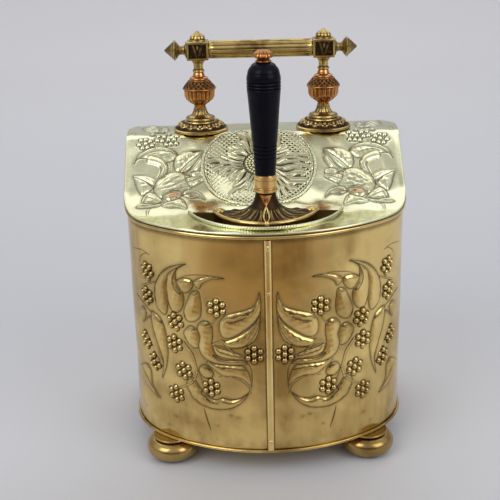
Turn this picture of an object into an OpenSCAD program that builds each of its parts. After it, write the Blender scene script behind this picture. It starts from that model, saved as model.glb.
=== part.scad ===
// Brass coal scuttle: a D-shaped case on four bun feet, a hinged S-shaped lid with a bar handle,
// and a shovel that stands in a slot in the lid. +Z is up and the front faces -Y.
// Plan shapes are drawn from the cross line of the oval front, and placed() brings them to the frame.

/* [Case] */
// Half width of the case where its oval front meets the sides
case_half_w = 150; // [135:1:165]
// Depth of the oval front, from its cross line to the foremost point
case_front = 112.5; // [108:0.5:120]
// Depth of the case behind the oval's cross line
case_rear = 122; // [114:1:135]
// Radius of the tight bend at each end of the oval front
bend_r = 92; // [86:1:98]
// Angle at which each side flares out towards the back
flare = 2; // [0:0.1:3]
// Radius of the two back corners
corner_r = 22; // [18:1:28]
// Height of the case, from the underside of its base to the lid's rim at the front
case_h = 241; // [225:1:260]
// Thickness of the case's sheet brass
sheet_t = 1.5; // [1:0.1:2]
// Width of the returned edges that hold the back sheet
return_w = 16; // [12:1:20]
// Height of the embossed leaves above the panels
leaf_h = 1.2; // [0.6:0.1:1.6]
// Height of the berry clusters above the panels
cluster_h = 1.7; // [0.8:0.1:2]
// Radius of the berry clusters
cluster_r = 9.5; // [6:0.5:11]

/* [Base and feet] */
// Thickness of the base plate
base_t = 3; // [2:0.5:5]
// Distance that the base's edge stands out from the panels
base_out = 2; // [1:0.5:3]
// Height of the upstand inside the panels
upstand_h = 8; // [5:1:14]
// Height of each foot
foot_h = 28; // [24:1:34]
// Radius of the widest part of each foot
foot_r = 28.5; // [24:0.5:31]
// Radius of the flat pad under each foot
pad_r = 13; // [9:1:16]
// Distance of the front feet inside the case's half width
front_foot_in = 41.5; // [41:0.5:52]
// Distance of the front feet in front of the cross line
front_foot_y = 65.5; // [55:0.5:66]
// Distance of the back feet inside the case's half width
back_foot_in = 36; // [30:1:50]
// Distance of the back feet behind the cross line
back_foot_y = 84; // [70:1:90]
// Radius of the studs that hold the feet
stud_r = 2.5; // [2:0.1:3]
// Height of the nuts on those studs
stud_nut_h = 4; // [3:0.5:6]

/* [Front seam] */
// Width of the cover strip over the front seam
strip_w = 7; // [5:0.5:10]
// Thickness of the cover strip
strip_t = 1.6; // [1:0.1:2.5]
// Width of the plain strip behind the seam
backing_w = 18; // [14:1:26]
// Radius of the pins' round heads
pin_head_r = 1.9; // [1.5:0.1:2.5]
// Radius of the pins' shanks
pin_r = 0.9; // [0.6:0.1:1.2]

/* [Liner] */
// Space between the case and the liner
liner_gap = 5; // [4:0.5:8]
// Thickness of the liner's sheet iron
liner_t = 1.2; // [0.8:0.1:2]
// Distance of the liner's top edge below the lid's rim
liner_drop = 16; // [10:1:40]
// Width of the liner's folded top edge
liner_fold = 2.5; // [1.5:0.5:3.5]

/* [Lid] */
// Thickness of the lid's sheet brass
lid_t = 1.5; // [1:0.1:2]
// Rise from the lid's low front shelf to its crest
lid_rise = 58; // [50:1:62]
// Steepness of the lid's slope
slope = 31.7; // [29:0.1:34]
// Radius of the bend from the slope to the crest
crest_r = 20; // [14:1:30]
// Radius of the hollow bend from the shelf to the slope
hollow_r = 105; // [90:1:115]
// Distance of the crest's flat part behind the cross line
crest_y = 74; // [70:1:80]
// Height of the lid's rim, from its lower edge to the lid's surface
rim_h = 7; // [5:0.5:9]
// Distance that the rim stands out from the case
rim_out = 3.2; // [2.6:0.1:4]
// Clearance between the rim and the case
rim_gap = 0.6; // [0.5:0.1:1]
// Radius of the medallion's border, to the middle of its bead
medallion_r = 62.7; // [50:0.1:66]
// Width of the medallion's border bead
medallion_bead_w = 3; // [2:0.1:5]
// Height of the medallion's border bead above the lid
medallion_bead_h = 1.4; // [0.8:0.1:2.5]
// Distance of the medallion to the left of the middle
medallion_left = 5.5; // [0:0.5:8]
// Distance of the medallion's centre behind the cross line
medallion_y = 26.5; // [20:0.5:30]
// Lean of the medallion as a whole
medallion_lean = 26.2; // [20:0.1:32]
// Number of the medallion's main petals
petals = 15; // [9:1:24]
// Distance from the medallion's centre to the petals' tips
petal_r = 51; // [40:1:54]
// Radius of the boss in the medallion's middle
boss_r = 17; // [12:0.5:22]
// Height of the boss above the lid
boss_h = 2.9; // [1.5:0.1:3.5]
// Height of the embossed petals and leaves above the lid
lid_leaf_h = 1.4; // [0.8:0.1:2]

/* [Slot and pocket] */
// Half width of the slot at its straight back edge
slot_half_w = 79; // [70:1:84]
// Distance of the slot's back edge in front of the cross line
slot_back = 43; // [41:0.5:46]
// Distance of the slot's foremost point in front of the cross line
slot_front = 102; // [98:0.5:103]
// Radius of the bead along the slot's curved edge
slot_bead_r = 1.4; // [1:0.1:1.8]
// Distance of the pocket's faces outside the slot's edges
pocket_out = 2; // [1:0.5:3]
// Thickness of the pocket's sheet
pocket_t = 1.2; // [0.8:0.1:1.6]
// Width of the pocket's top flange
flange_w = 4; // [3:0.5:5]

/* [Hinge] */
// Half length of the lid hinge
hinge_half = 95; // [60:1:105]
// Outer radius of the hinge's barrel
barrel_r = 3.5; // [3:0.1:4]
// Radius of the hinge pin
hinge_pin_r = 1.5; // [1.2:0.1:1.8]
// Running clearance round the hinge pin
hinge_fit = 0.05; // [0.02:0.01:0.09]
// Thickness of the hinge's leaves
leaf_t = 1.5; // [1:0.1:1.5]
// Drop of the hinge's axis below the middle of the lid leaf
hinge_drop = 1.5; // [1.5:0.1:2]
// Length of the leaf on the back sheet
leaf_drop = 26; // [20:1:36]
// Distance of the lid leaf's front edge behind the start of the crest
leaf_front = 4; // [2:1:8]
// Number of knuckles in the barrel
knuckles = 5; // [5:2:9]

/* [Handle] */
// Distance of the handle's posts from the middle
post_x = 71; // [60:1:76]
// Distance of the handle's posts behind the cross line
post_y = 94; // [90:0.5:96]
// Radius of the posts' embossed discs
disc_r = 31.6; // [26:0.1:34]
// Height of the posts' embossed discs
disc_h = 12; // [8:0.5:16]
// Height of the flared foot on each disc
stem_h = 15.4; // [12:0.1:20]
// Height of each urn
urn_h = 38.6; // [30:0.1:46]
// Radius of the urns
urn_r = 19.35; // [15:0.05:21]
// Height of the ringed neck above each urn
neck_h = 14.6; // [10:0.1:20]
// Width of the square blocks
block_w = 24.6; // [20:0.1:28]
// Height of the square blocks
block_h = 20.4; // [16:0.1:26]
// Height of the acorns on the blocks
acorn_h = 11; // [8:0.1:16]
// Radius of the handle bar
bar_r = 10.2; // [7:0.1:10.2]
// Thickness of the handle bar's wall
bar_wall = 2.2; // [1.5:0.1:3]
// Depth of the spigots inside the bar's ends
spigot_l = 6; // [4:0.5:10]
// Length of each pointed end finial
tip_l = 25.4; // [18:0.1:32]
// Radius of the end finials' widest edge
tip_r = 11.6; // [8:0.1:13]
// Radius of the tie rods in the posts
rod_r = 3; // [2:0.1:3.5]
// Radius of the threaded tenons of acorns and end finials
tenon_r = 2.2; // [1.6:0.1:2.6]
// Length of those tenons
tenon_l = 5; // [3:0.5:6]

/* [Shovel] */
// Tilt of the scoop, its lower end towards the back
tilt = 30; // [27:0.5:33]
// Outer radius of the scoop's round trough
blade_r = 57; // [52:0.5:60]
// Thickness of the scoop's sheet
blade_t = 1.5; // [1:0.1:2]
// Length of the scoop, from the lid's shelf to its tip
blade_l = 132; // [110:1:134]
// Radius of the scoop's rounded tip
lip_r = 90; // [70:1:120]
// Gap between the slot's foremost edge and the scoop
blade_gap = 10; // [7:0.5:12]
// Gap between the slot's straight edge and the scoop's edges
blade_back_gap = 2.5; // [2:0.5:5]
// Height of the band round the scoop's top
band_h = 3.5; // [2.5:0.1:5]
// Distance that the band stands out on each side of the scoop's sheet
band_out = 1.1; // [0.8:0.1:1.6]
// Radius of the scrolls at the band's ends
scroll_r = 4; // [3:0.1:5]
// Distance of the shovel's upright axis in front of the cross line
grip_y = 61; // [59:0.5:62]
// Radius of the fan's throat under the ferrule
throat_r = 10.5; // [9:0.1:12]
// Radius of the fan's hollow flare
flare_r = 23; // [20:0.1:24]
// Thickness of the fan's flat skirt
skirt_t = 2.2; // [1.6:0.1:3]
// Radius of the ferrule
ferrule_r = 11.5; // [10.9:0.1:14]
// Height of the ferrule
ferrule_h = 18; // [14:0.5:24]
// Height of the grip above the ferrule
grip_h = 113.5; // [90:0.5:130]
// Largest radius of the grip
grip_r = 17.2; // [14:0.1:20]
// Radius of the grip where it leaves the ferrule
grip_low_r = 10.7; // [9.9:0.1:10.8]
// Height of the copper knob on the grip
knob_h = 12; // [9:0.5:16]
// Radius of the copper knob
knob_r = 10.6; // [8:0.1:13]
// Radius of the iron tang through the grip
tang_r = 3; // [2:0.1:3.5]

/* [Hidden] */
$fn = 96;

// Clearances
seat = 0.2;        // between fixed pieces that bear on each other
slip = 0.1;        // round rods, studs, pins and tenons in their holes
cut = 1;           // how far cutting shapes run past what they cut
far = 400;         // beyond the whole object
kiss = 0.02;       // how far a bend's disc passes the straight lines it runs into

// Heights above the floor
z_base = foot_h;
z_floor = z_base + base_t;
z_rim = z_base + case_h;
z_shelf = z_rim + rim_h;
z_crest = z_shelf + lid_rise;

// The oval front: a wide arc between two tight ones
bend_x = case_half_w - bend_r;
wide_r = (pow(bend_r, 2) - pow(case_front, 2) - pow(bend_x, 2)) / (2 * (bend_r - case_front));
wide_y = wide_r - case_front;
join_a = atan2(bend_x, wide_y);
degree = 180 / PI;
wide_l = wide_r * join_a / degree;

// The feet keep their distance from the sides
front_foot_x = case_half_w - front_foot_in;
back_foot_x = case_half_w - back_foot_in;

// The back corners, tangent to the flared sides and the straight back
corner_y = case_rear - corner_r;
corner_x = (bend_x * cos(flare) + bend_r - corner_r + sin(flare) * corner_y) / cos(flare);

// The lid's profile: shelf, hollow bend, slope, crest bend, crest
bends = crest_r + hollow_r;
hollow_y = crest_y - (bends + (lid_rise - bends) * cos(slope)) / sin(slope);

// The hinge
hinge_y = case_rear - sheet_t + barrel_r;
leaf_z = z_crest - lid_t - seat - leaf_t / 2;
hinge_z = leaf_z - hinge_drop;
lid_back = hinge_y - barrel_r - 0.5;
rim_back = corner_y + corner_r / 2;
knuckle_l = 2 * hinge_half / knuckles;
knuckle_gap = 0.2;
back_top = hinge_z - leaf_t / 2 - 3 * seat;
back_in = case_rear - 2 * sheet_t - seat;

// The slot, the pocket and the scoop
slot_d = slot_front - slot_back;
slot_r = (pow(slot_half_w, 2) + pow(slot_d, 2)) / (2 * slot_d);
blade_y = -(slot_front - blade_gap);
blade_d = (-slot_back - blade_back_gap - blade_y) * cos(tilt);
pocket_front = -(blade_gap + pocket_out) * cos(tilt);
pocket_back = (-slot_back + pocket_out - blade_y) * cos(tilt);
pocket_half_w = slot_half_w + pocket_out;
pocket_d = pocket_back - pocket_front;
pocket_r = (pow(pocket_half_w, 2) + pow(pocket_d, 2)) / (2 * pocket_d);
lid_under = z_shelf - lid_t - seat;

// The shovel, from the scoop up
band_lift = 1.5;
throat_h = 1;
z_blade = z_shelf + band_lift;
z_band = z_blade + seat;
z_skirt = z_band + band_h - 1;
z_fan = z_skirt + flare_r + throat_h;
z_ferrule = z_fan + seat;
z_grip = z_ferrule + ferrule_h;
z_knob = z_grip + grip_h + seat;

// The handle, from the crest up
z_disc = z_crest + seat;
z_stem = z_disc + disc_h + seat;
z_urn = z_stem + stem_h + seat;
z_neck = z_urn + urn_h + seat;
z_block = z_neck + neck_h + seat;
z_bar = z_block + block_h / 2;
z_acorn = z_block + block_h + seat;
bar_half = post_x - block_w / 2 - seat;

// The frame's origin stands under the middle of the whole object
front_end = max(case_front + rim_out, case_front + seat + strip_t + pin_head_r * 0.8);
rear_end = max(hinge_y + barrel_r, post_y + disc_r);
frame_y = (front_end - rear_end) / 2;

// The liner stands on the feet's studs
liner_in = sheet_t + liner_gap;
stud_over = 1.5;
z_liner = z_floor + seat + stud_nut_h + stud_over + seat;
liner_top = z_rim - liner_drop;

// The embossed leaves, each as its place, its length, its width and how far its tip leans
// outwards. On a panel the place runs along the case from the front seam, and up from the base.
// On the lid it runs out from the middle, and up the slope from the medallion's centre.
panel_leaves = [
    [[30, 150], 50, 17, -50], [[27, 131], 42, 13, -54], [[67, 190], 32, 10, -68],
    [[80, 163], 44, 16, -14], [[104, 171], 56, 17, -5], [[122, 170], 50, 13, -12],
    [[84, 126], 25, 13, 24], [[60, 119], 60, 17, 38], [[43, 115], 34, 12, 65],
    [[37, 85], 40, 14, 64], [[62, 56], 62, 14, 88], [[127, 116], 66, 16, 10],
    [[148, 114], 60, 13, 25], [[152, 60], 40, 14, 50]
];
panel_clusters = [
    [54, 163], [103, 140], [105, 114], [95, 85], [106, 55], [63, 70],
    [16, 112], [141, 188], [143, 160], [150, 106], [136, 84]
];
lid_leaves = [
    [[114, 19], 50, 20, -83], [[82, 7], 40, 24, -38], [[129, -24], 34, 20, 20],
    [[99, -29], 46, 26, -49], [[122, -49], 28, 18, 56], [[84, -46], 40, 12, 75]
];

brass = "#c9a227";
pale_brass = "#c6bd7a";
copper = "#b0703c";
dark_brass = "#6e5426";
ebony = "#141416";
iron = "#5a5a5c";

// Everything is drawn round the oval's cross line and placed into the frame here
module placed() {
    translate([0, frame_y, 0]) children();
}

// Outline of the case in plan, moved outwards by o
module plan(o = 0) {
    r_wide = wide_r + o;
    r_bend = bend_r + o;
    r_corner = corner_r + o;
    wedge = 2 * case_front;
    intersection() {
        translate([0, wide_y]) circle(r = r_wide, $fn = 240);
        polygon([
            [0, wide_y],
            [-wedge * tan(join_a) - bend_x, -wedge],
            [wedge * tan(join_a) + bend_x, -wedge]
        ]);
    }
    for (x = [-bend_x, bend_x])
        translate([x, 0]) circle(r = r_bend + kiss);
    for (x = [-corner_x, corner_x])
        translate([x, corner_y]) circle(r = r_corner + kiss);
    half = [
        [bend_x, 0],
        [bend_x + r_bend * cos(flare), -r_bend * sin(flare)],
        [corner_x + r_corner * cos(flare), corner_y - r_corner * sin(flare)],
        [corner_x, corner_y],
        [corner_x, corner_y + r_corner]
    ];
    last = len(half) - 1;
    polygon(concat(half, [for (i = [last:-1:0]) [-half[i][0], half[i][1]]]));
}

// Ring of sheet between two offsets of the outline
module plan_ring(outer, inner) {
    difference() {
        plan(outer);
        plan(inner);
    }
}

// Turns a profile drawn in Y and Z into a bar across the whole width
module across(half_l = far) {
    rotate([90, 0, 90]) linear_extrude(height = 2 * half_l, center = true) children();
}

// Everything below the lid's top surface moved outwards by o, drawn in Y and Z
module under_lid(o = 0) {
    rise = [-sin(slope), cos(slope)];
    crest_c = [crest_y, z_crest - crest_r];
    hollow_c = [hollow_y, z_shelf + hollow_r];
    difference() {
        union() {
            polygon([
                [-far, 0],
                [-far, z_shelf + o],
                [hollow_y, z_shelf + o],
                hollow_c - (hollow_r - o) * rise,
                crest_c + (crest_r + o) * rise,
                crest_c,
                [crest_y, z_crest + o],
                [far, z_crest + o],
                [far, 0]
            ]);
            translate(crest_c) circle(r = crest_r + o + kiss);
        }
        translate(hollow_c) circle(r = hollow_r - o);
    }
}

// Sheet that follows the lid between two offsets of its surface
module lid_layer(outer, inner) {
    difference() {
        under_lid(outer);
        under_lid(inner);
    }
}

// Cuts off everything above the lid's top surface moved outwards by o
module trim_to_lid(o) {
    rise_a = 90 + slope;
    mid_a = 90 + slope / 2;
    crest_c = [crest_y, z_crest - crest_r];
    hollow_c = [hollow_y, z_shelf + hollow_r];
    difference() {
        children();
        across() polygon([
            [-far, far],
            [-far, z_shelf + o],
            [hollow_y, z_shelf + o],
            hollow_c,
            hollow_c - (hollow_r - o) * ray(rise_a),
            crest_c + (crest_r + o) / cos(slope / 2) * ray(mid_a),
            [far, z_crest + o],
            [far, far]
        ]);
        across() translate(hollow_c) circle(r = hollow_r - o + kiss);
        across() difference() {
            polygon([
                crest_c,
                crest_c + 2 * crest_r * ray(90),
                crest_c + 4 * crest_r * ray(mid_a),
                crest_c + 2 * crest_r * ray(rise_a)
            ]);
            translate(crest_c) circle(r = crest_r + o + kiss);
        }
    }
}

// Unit step in the direction of an angle
function ray(a) = [cos(a), sin(a)];

// Block of everything between two heights, and between two depths
module slab(z0, z1, y0 = -far, y1 = far) {
    translate([-far, y0, z0]) cube([2 * far, y1 - y0, z1 - z0]);
}

// Upright cylinder between two heights
module post(r, z0, z1) {
    translate([0, 0, z0]) cylinder(r = r, h = z1 - z0);
}

// Dome of radius r and height h that bulges along +Z
module dome(r, h) {
    ball_r = (r * r + h * h) / (2 * h);
    intersection() {
        translate([0, 0, h - ball_r]) sphere(r = ball_r);
        cylinder(r = r, h = h);
    }
}

// Both sides of the object from one side
module both_sides() {
    children();
    mirror([1, 0, 0]) children();
}

// ---- Case ----

module base_plate() color(brass) placed() difference() {
    union() {
        translate([0, 0, z_base]) linear_extrude(height = base_t) plan(base_out);
        translate([0, 0, z_base])
            linear_extrude(height = base_t + upstand_h)
                plan_ring(-sheet_t - seat, -sheet_t - seat - liner_t);
    }
    at_feet() post(stud_r + slip, z_base - cut, z_floor + cut);
}

// Shell of the case, cut to the lid's underside
module case_shell() {
    trim_to_lid(-lid_t - seat)
        translate([0, 0, z_floor + seat])
            linear_extrude(height = z_crest) plan_ring(0, -sheet_t);
}

// Pointed leaf drawn along Y, of two equal arcs
module leaf_outline(l, w) {
    arc_r = (l * l + w * w) / (4 * w);
    intersection_for(x = [w / 2 - arc_r, arc_r - w / 2])
        translate([x, 0]) circle(r = arc_r);
}

// Place on the left panel, along the case and up from its base, with +Z outwards
module on_panel(place) {
    wide = place[0] < wide_l;
    centre = wide ? [0, wide_y] : [-bend_x, 0];
    r = wide ? wide_r : bend_r;
    a = (wide ? place[0] / r : join_a / degree + (place[0] - wide_l) / r) * degree;
    translate([centre[0], centre[1], z_floor + place[1]])
        rotate([0, 0, -a]) translate([0, -r, 0]) rotate([90, 0, 0]) children();
}

// Embossed leaves and berry clusters that stand out from the left panel
module panel_relief() {
    intersection() {
        translate([0, 0, z_floor + upstand_h])
            linear_extrude(height = case_h - 2 * upstand_h) plan_ring(leaf_h, -sheet_t / 2);
        union()
            for (leaf = panel_leaves)
                on_panel(leaf[0]) rotate([0, 0, leaf[3]])
                    translate([0, 0, -leaf[1] / 4]) linear_extrude(height = leaf[1] / 2)
                        leaf_outline(leaf[1], leaf[2]);
    }
    for (place = panel_clusters)
        on_panel(place) translate([0, 0, -sheet_t / 2]) dome(cluster_r, cluster_h + sheet_t / 2);
}

module side_panel() {
    difference() {
        union() {
            case_shell();
            panel_relief();
        }
        translate([-seat / 2, -far, 0]) cube([far, 2 * far, far]);
        translate([-corner_x + return_w, case_rear - 2 * sheet_t, 0])
            cube([far, 3 * sheet_t, far]);
        at_strip_pins(-case_front) cylinder(r = pin_r + slip, h = 4 * sheet_t, center = true);
        at_back_rivets() cylinder(r = pin_r + slip, h = 4 * sheet_t, center = true);
    }
}

module left_side_panel() color(brass) placed() side_panel();

module right_side_panel() color(brass) placed() mirror([1, 0, 0]) side_panel();

module back_panel() color(brass) placed() difference() {
    translate([-corner_x, back_in, z_floor + upstand_h + seat])
        cube([2 * corner_x, sheet_t, back_top - z_floor - upstand_h - seat]);
    at_back_rivets() cylinder(r = pin_r + slip, h = 4 * sheet_t, center = true);
    mirror([1, 0, 0]) at_back_rivets()
        cylinder(r = pin_r + slip, h = 4 * sheet_t, center = true);
    at_hinge_rivets() cylinder(r = pin_r + slip, h = 4 * sheet_t, center = true);
}

// Places of the rivets in the left returned edge; their axes lie along Y
back_rivet_n = 5;
module at_back_rivets() {
    z0 = z_floor + upstand_h + 14;
    step = (back_top - 20 - z0) / (back_rivet_n - 1);
    for (i = [0:back_rivet_n - 1])
        translate([-corner_x + return_w / 2, case_rear - sheet_t, z0 + i * step])
            rotate([-90, 0, 0]) children();
}

// Rivet along +Z with a low head at both ends of a grip of length l, outer end at the origin
module rivet(l, head_r = 2.6, head_h = 1.1) {
    translate([0, 0, -l]) cylinder(r = pin_r, h = l + head_h / 2);
    dome(head_r, head_h);
    translate([0, 0, -l]) mirror([0, 0, 1]) dome(head_r, head_h);
}

module back_rivets() color(brass) placed() both_sides() at_back_rivets()
    translate([0, 0, sheet_t + seat]) rivet(2 * sheet_t + 3 * seat);

module front_cover_strip() color(brass) placed() difference() {
    intersection() {
        translate([0, 0, z_floor + seat])
            linear_extrude(height = z_rim - z_floor - 2 * seat)
                plan_ring(seat + strip_t, seat);
        translate([-strip_w / 2, -far, 0]) cube([strip_w, far, far]);
    }
    at_strip_pins(-case_front) cylinder(r = pin_r + slip, h = 6 * strip_t, center = true);
}

module seam_backing_strip() color(brass) placed() difference() {
    intersection() {
        translate([0, 0, z_floor + upstand_h + seat])
            linear_extrude(height = z_rim - rim_h - z_floor - upstand_h)
                plan_ring(-sheet_t - seat, -2 * sheet_t - seat);
        translate([-backing_w / 2, -far, 0]) cube([backing_w, far, far]);
    }
    at_strip_pins(-case_front + sheet_t)
        cylinder(r = pin_r + slip, h = 6 * sheet_t, center = true);
}

// Places of the pins down the front seam; their axes lie along Y and point to the front
module at_strip_pins(y) {
    low = z_floor + upstand_h + 2;
    high = z_rim - rim_h - 2;
    for (z = [low, low + 0.78 * (high - low), high])
        translate([0, y, z]) rotate([90, 0, 0]) children();
}

module strip_pins() color(brass) placed() at_strip_pins(-case_front) {
    head_z = seat + strip_t + seat;
    back_z = -2 * sheet_t - 2 * seat;
    translate([0, 0, back_z]) cylinder(r = pin_r, h = head_z - back_z + 0.3);
    translate([0, 0, head_z]) dome(pin_head_r, pin_head_r * 0.8);
    translate([0, 0, back_z]) mirror([0, 0, 1]) dome(pin_head_r, 0.8);
}

module liner() color(iron) placed() {
    difference() {
        translate([0, 0, z_liner]) linear_extrude(height = liner_top - z_liner) plan(-liner_in);
        translate([0, 0, z_liner + liner_t])
            linear_extrude(height = liner_top) plan(-liner_in - liner_t);
    }
    translate([0, 0, liner_top - liner_fold])
        linear_extrude(height = liner_fold) plan_ring(-liner_in + liner_fold, -liner_in - liner_t);
}

// ---- Feet ----

module at_front_feet() {
    for (s = [-1, 1]) translate([s * front_foot_x, -front_foot_y, 0]) children();
}

module at_back_feet() {
    for (s = [-1, 1]) translate([s * back_foot_x, back_foot_y, 0]) children();
}

module at_feet() {
    at_front_feet() children();
    at_back_feet() children();
}

// Turned bun with a flat pad, a groove and a thin collar under the base
module foot() {
    collar_t = 2.5;
    collar_r = foot_r * 0.78;
    groove = 3;
    bun_h = foot_h - collar_t - groove;
    bulge_r = bun_h * 0.62;
    difference() {
        union() {
            rotate_extrude() difference() {
                union() {
                    square([foot_r - bulge_r, bun_h]);
                    intersection() {
                        translate([foot_r - bulge_r, bun_h / 2]) circle(r = bulge_r);
                        square([foot_r, bun_h]);
                    }
                }
                // the underside rises from the pad to the bulge
                polygon([[pad_r, 0], [foot_r + cut, 0], [foot_r + cut, bun_h * 0.22]]);
            }
            post(foot_r * 0.55, bun_h - cut, foot_h - seat);
            post(collar_r, foot_h - collar_t, foot_h - seat);
        }
        post(stud_r + slip, foot_h * 0.4, foot_h + cut);
    }
}

module front_left_foot() color(brass) placed()
    translate([-front_foot_x, -front_foot_y, 0]) foot();

module front_right_foot() color(brass) placed()
    translate([front_foot_x, -front_foot_y, 0]) foot();

module rear_left_foot() color(brass) placed()
    translate([-back_foot_x, back_foot_y, 0]) foot();

module rear_right_foot() color(brass) placed()
    translate([back_foot_x, back_foot_y, 0]) foot();

module foot_studs() color(iron) placed() at_feet()
    post(stud_r, foot_h * 0.4 + seat, z_floor + seat + stud_nut_h + stud_over);

module foot_nuts() color(iron) placed() at_feet() difference() {
    translate([0, 0, z_floor + seat])
        cylinder(r = stud_r * 1.84, h = stud_nut_h, $fn = 6);
    post(stud_r + slip, z_floor, z_floor + 2 * stud_nut_h);
}

// ---- Hinge ----

module knuckle(i) {
    translate([-hinge_half + i * knuckle_l + knuckle_gap, hinge_y, hinge_z])
        rotate([0, 90, 0]) cylinder(r = barrel_r, h = knuckle_l - 2 * knuckle_gap);
}

// Web that carries a knuckle, between two depths and two heights
module knuckle_web(i, y0, y1, z0, z1) {
    translate([-hinge_half + i * knuckle_l + knuckle_gap, y0, z0])
        cube([knuckle_l - 2 * knuckle_gap, y1 - y0, z1 - z0]);
}

module pin_hole() {
    translate([0, hinge_y, hinge_z])
        rotate([0, 90, 0]) cylinder(r = hinge_pin_r + hinge_fit, h = 3 * hinge_half, center = true);
}

module hinge_case_leaf() color(brass) placed() difference() {
    front = case_rear - sheet_t;
    low = hinge_z - leaf_drop;
    high = hinge_z - barrel_r - 0.6;
    union() {
        translate([-hinge_half, front, low]) cube([2 * hinge_half, leaf_t, high - low]);
        for (i = [0:2:knuckles - 1]) {
            knuckle(i);
            knuckle_web(i, front, front + leaf_t, low + cut, hinge_z);
        }
    }
    pin_hole();
    at_hinge_rivets() cylinder(r = pin_r + slip, h = 4 * sheet_t, center = true);
}

// Places of the rivets in the case leaf; their axes lie along Y
module at_hinge_rivets() {
    for (i = [-2:2])
        translate([i * hinge_half * 0.44, case_rear - sheet_t, hinge_z - leaf_drop * 0.62])
            rotate([-90, 0, 0]) children();
}

module hinge_rivets() color(brass) placed() at_hinge_rivets()
    translate([0, 0, leaf_t + seat]) rivet(leaf_t + sheet_t + 3 * seat);

module hinge_pin() color(iron) placed()
    translate([0, hinge_y, hinge_z])
        rotate([0, 90, 0]) cylinder(r = hinge_pin_r, h = 2 * hinge_half, center = true);

module hinge_lid_leaf() color(brass) placed() difference() {
    front = crest_y + leaf_front;
    union() {
        translate([-hinge_half, front, leaf_z - leaf_t / 2])
            cube([2 * hinge_half, lid_back - front, leaf_t]);
        for (i = [1:2:knuckles - 2]) {
            knuckle(i);
            knuckle_web(i, lid_back - cut, hinge_y, leaf_z - leaf_t / 2, leaf_z + leaf_t / 2);
        }
    }
    pin_hole();
    at_posts() post(rod_r + slip, 0, far);
}

// ---- Lid ----

module slot_outline(o = 0) {
    intersection() {
        translate([0, slot_r - slot_front]) circle(r = slot_r + o);
        translate([-far, -far]) square([2 * far, far - slot_back + o]);
    }
}

// Raises an outline drawn in the medallion's leaning plane from the lid's surface, h high
module lid_relief(h) {
    mid_z = z_shelf + lid_rise / 2;
    intersection() {
        across() lid_layer(h, -lid_t / 2);
        translate([0, medallion_y, mid_z]) rotate([medallion_lean, 0, 0])
            linear_extrude(height = lid_rise, center = true) children();
    }
}

module medallion_border() {
    difference() {
        circle(r = medallion_r + medallion_bead_w / 2);
        circle(r = medallion_r - medallion_bead_w / 2);
    }
}

module medallion_flower() {
    petal_l = petal_r - boss_r / 2;
    circle(r = boss_r + petal_l / 3);
    for (i = [0:petals - 1])
        rotate(360 / petals * i) translate([0, petal_r - petal_l / 2])
            leaf_outline(petal_l, 1.1 * PI * petal_r / petals);
}

module lid_foliage() {
    for (side = [-1, 1], leaf = lid_leaves)
        translate([side * leaf[0][0], leaf[0][1]]) rotate(-side * leaf[3])
            leaf_outline(leaf[1], leaf[2]);
}

// Rounded boss on the slope in the middle of the medallion
module medallion_boss() {
    crest_c = [crest_y, z_crest - crest_r];
    top = crest_c[1] + crest_r / cos(slope) - (crest_c[0] - medallion_y) * tan(slope);
    translate([-medallion_left, medallion_y, top]) rotate([slope, 0, 0])
        translate([0, 0, -lid_t / 2]) dome(boss_r, boss_h + lid_t / 2);
}

module lid_sheet() color(pale_brass) placed() difference() {
    union() {
        intersection() {
            linear_extrude(height = far) plan(rim_out - 0.8);
            across() lid_layer(0, -lid_t);
        }
        lid_relief(medallion_bead_h) translate([-medallion_left, 0]) medallion_border();
        lid_relief(lid_leaf_h) {
            translate([-medallion_left, 0]) medallion_flower();
            lid_foliage();
        }
        medallion_boss();
    }
    translate([0, 0, z_rim]) linear_extrude(height = far) slot_outline();
    slab(0, far, lid_back, far);
    at_posts() post(rod_r + slip, 0, far);
}

module lid_rim_bead() color(pale_brass) placed() difference() {
    trim_to_lid(-lid_t - seat)
        linear_extrude(height = far) plan_ring(rim_out, rim_gap);
    across() under_lid(-rim_h);
    slab(0, far, rim_back, far);
}

module slot_bead() color(pale_brass) placed() difference() {
    translate([0, slot_r - slot_front, z_shelf + slot_bead_r + seat])
        rotate_extrude() translate([slot_r + slot_bead_r + seat, 0]) circle(r = slot_bead_r);
    slab(0, far, -slot_back, far);
    across() under_lid(seat);
}

// Brings shapes drawn in the scoop's own frame to its tilt: Z runs up the scoop, Y to its back
module at_scoop() {
    translate([0, blade_y, z_shelf]) rotate([tilt, 0, 0]) children();
}

// Section of the pocket, grown by o
module pocket_section(o = 0) {
    intersection() {
        translate([0, pocket_front + pocket_r]) circle(r = pocket_r + o);
        translate([-far, -far]) square([2 * far, far + pocket_back + o]);
    }
}

// Walls, floor and top flange of the pocket that holds the scoop
module pocket_shell() {
    floor_z = -blade_l - seat;
    intersection() {
        at_scoop() difference() {
            translate([0, 0, floor_z - pocket_t])
                linear_extrude(height = far) pocket_section(pocket_t);
            translate([0, 0, floor_z]) linear_extrude(height = 2 * far) pocket_section();
        }
        slab(0, lid_under);
    }
    difference() {
        translate([0, 0, lid_under - pocket_t]) linear_extrude(height = pocket_t) intersection() {
            slot_outline(pocket_out + flange_w);
            translate([-far, -far]) square([2 * far, far + hollow_y]);
        }
        at_scoop() translate([0, 0, -far / 2]) linear_extrude(height = far) pocket_section();
    }
}

// Everything between two planes that lie along the pocket's flat back sheet
module pocket_slab(y0, y1) {
    at_scoop() translate([-far, y0, -far]) cube([2 * far, y1 - y0, 2 * far]);
}

module pocket_trough() color(dark_brass) placed() difference() {
    pocket_shell();
    pocket_slab(pocket_back, far);
}

module pocket_back_sheet() color(dark_brass) placed() difference() {
    pocket_shell();
    pocket_slab(-far, pocket_back + seat);
}

// ---- Handle ----

module at_posts() {
    for (s = [-1, 1]) translate([s * post_x, post_y, 0]) children();
}

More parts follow.
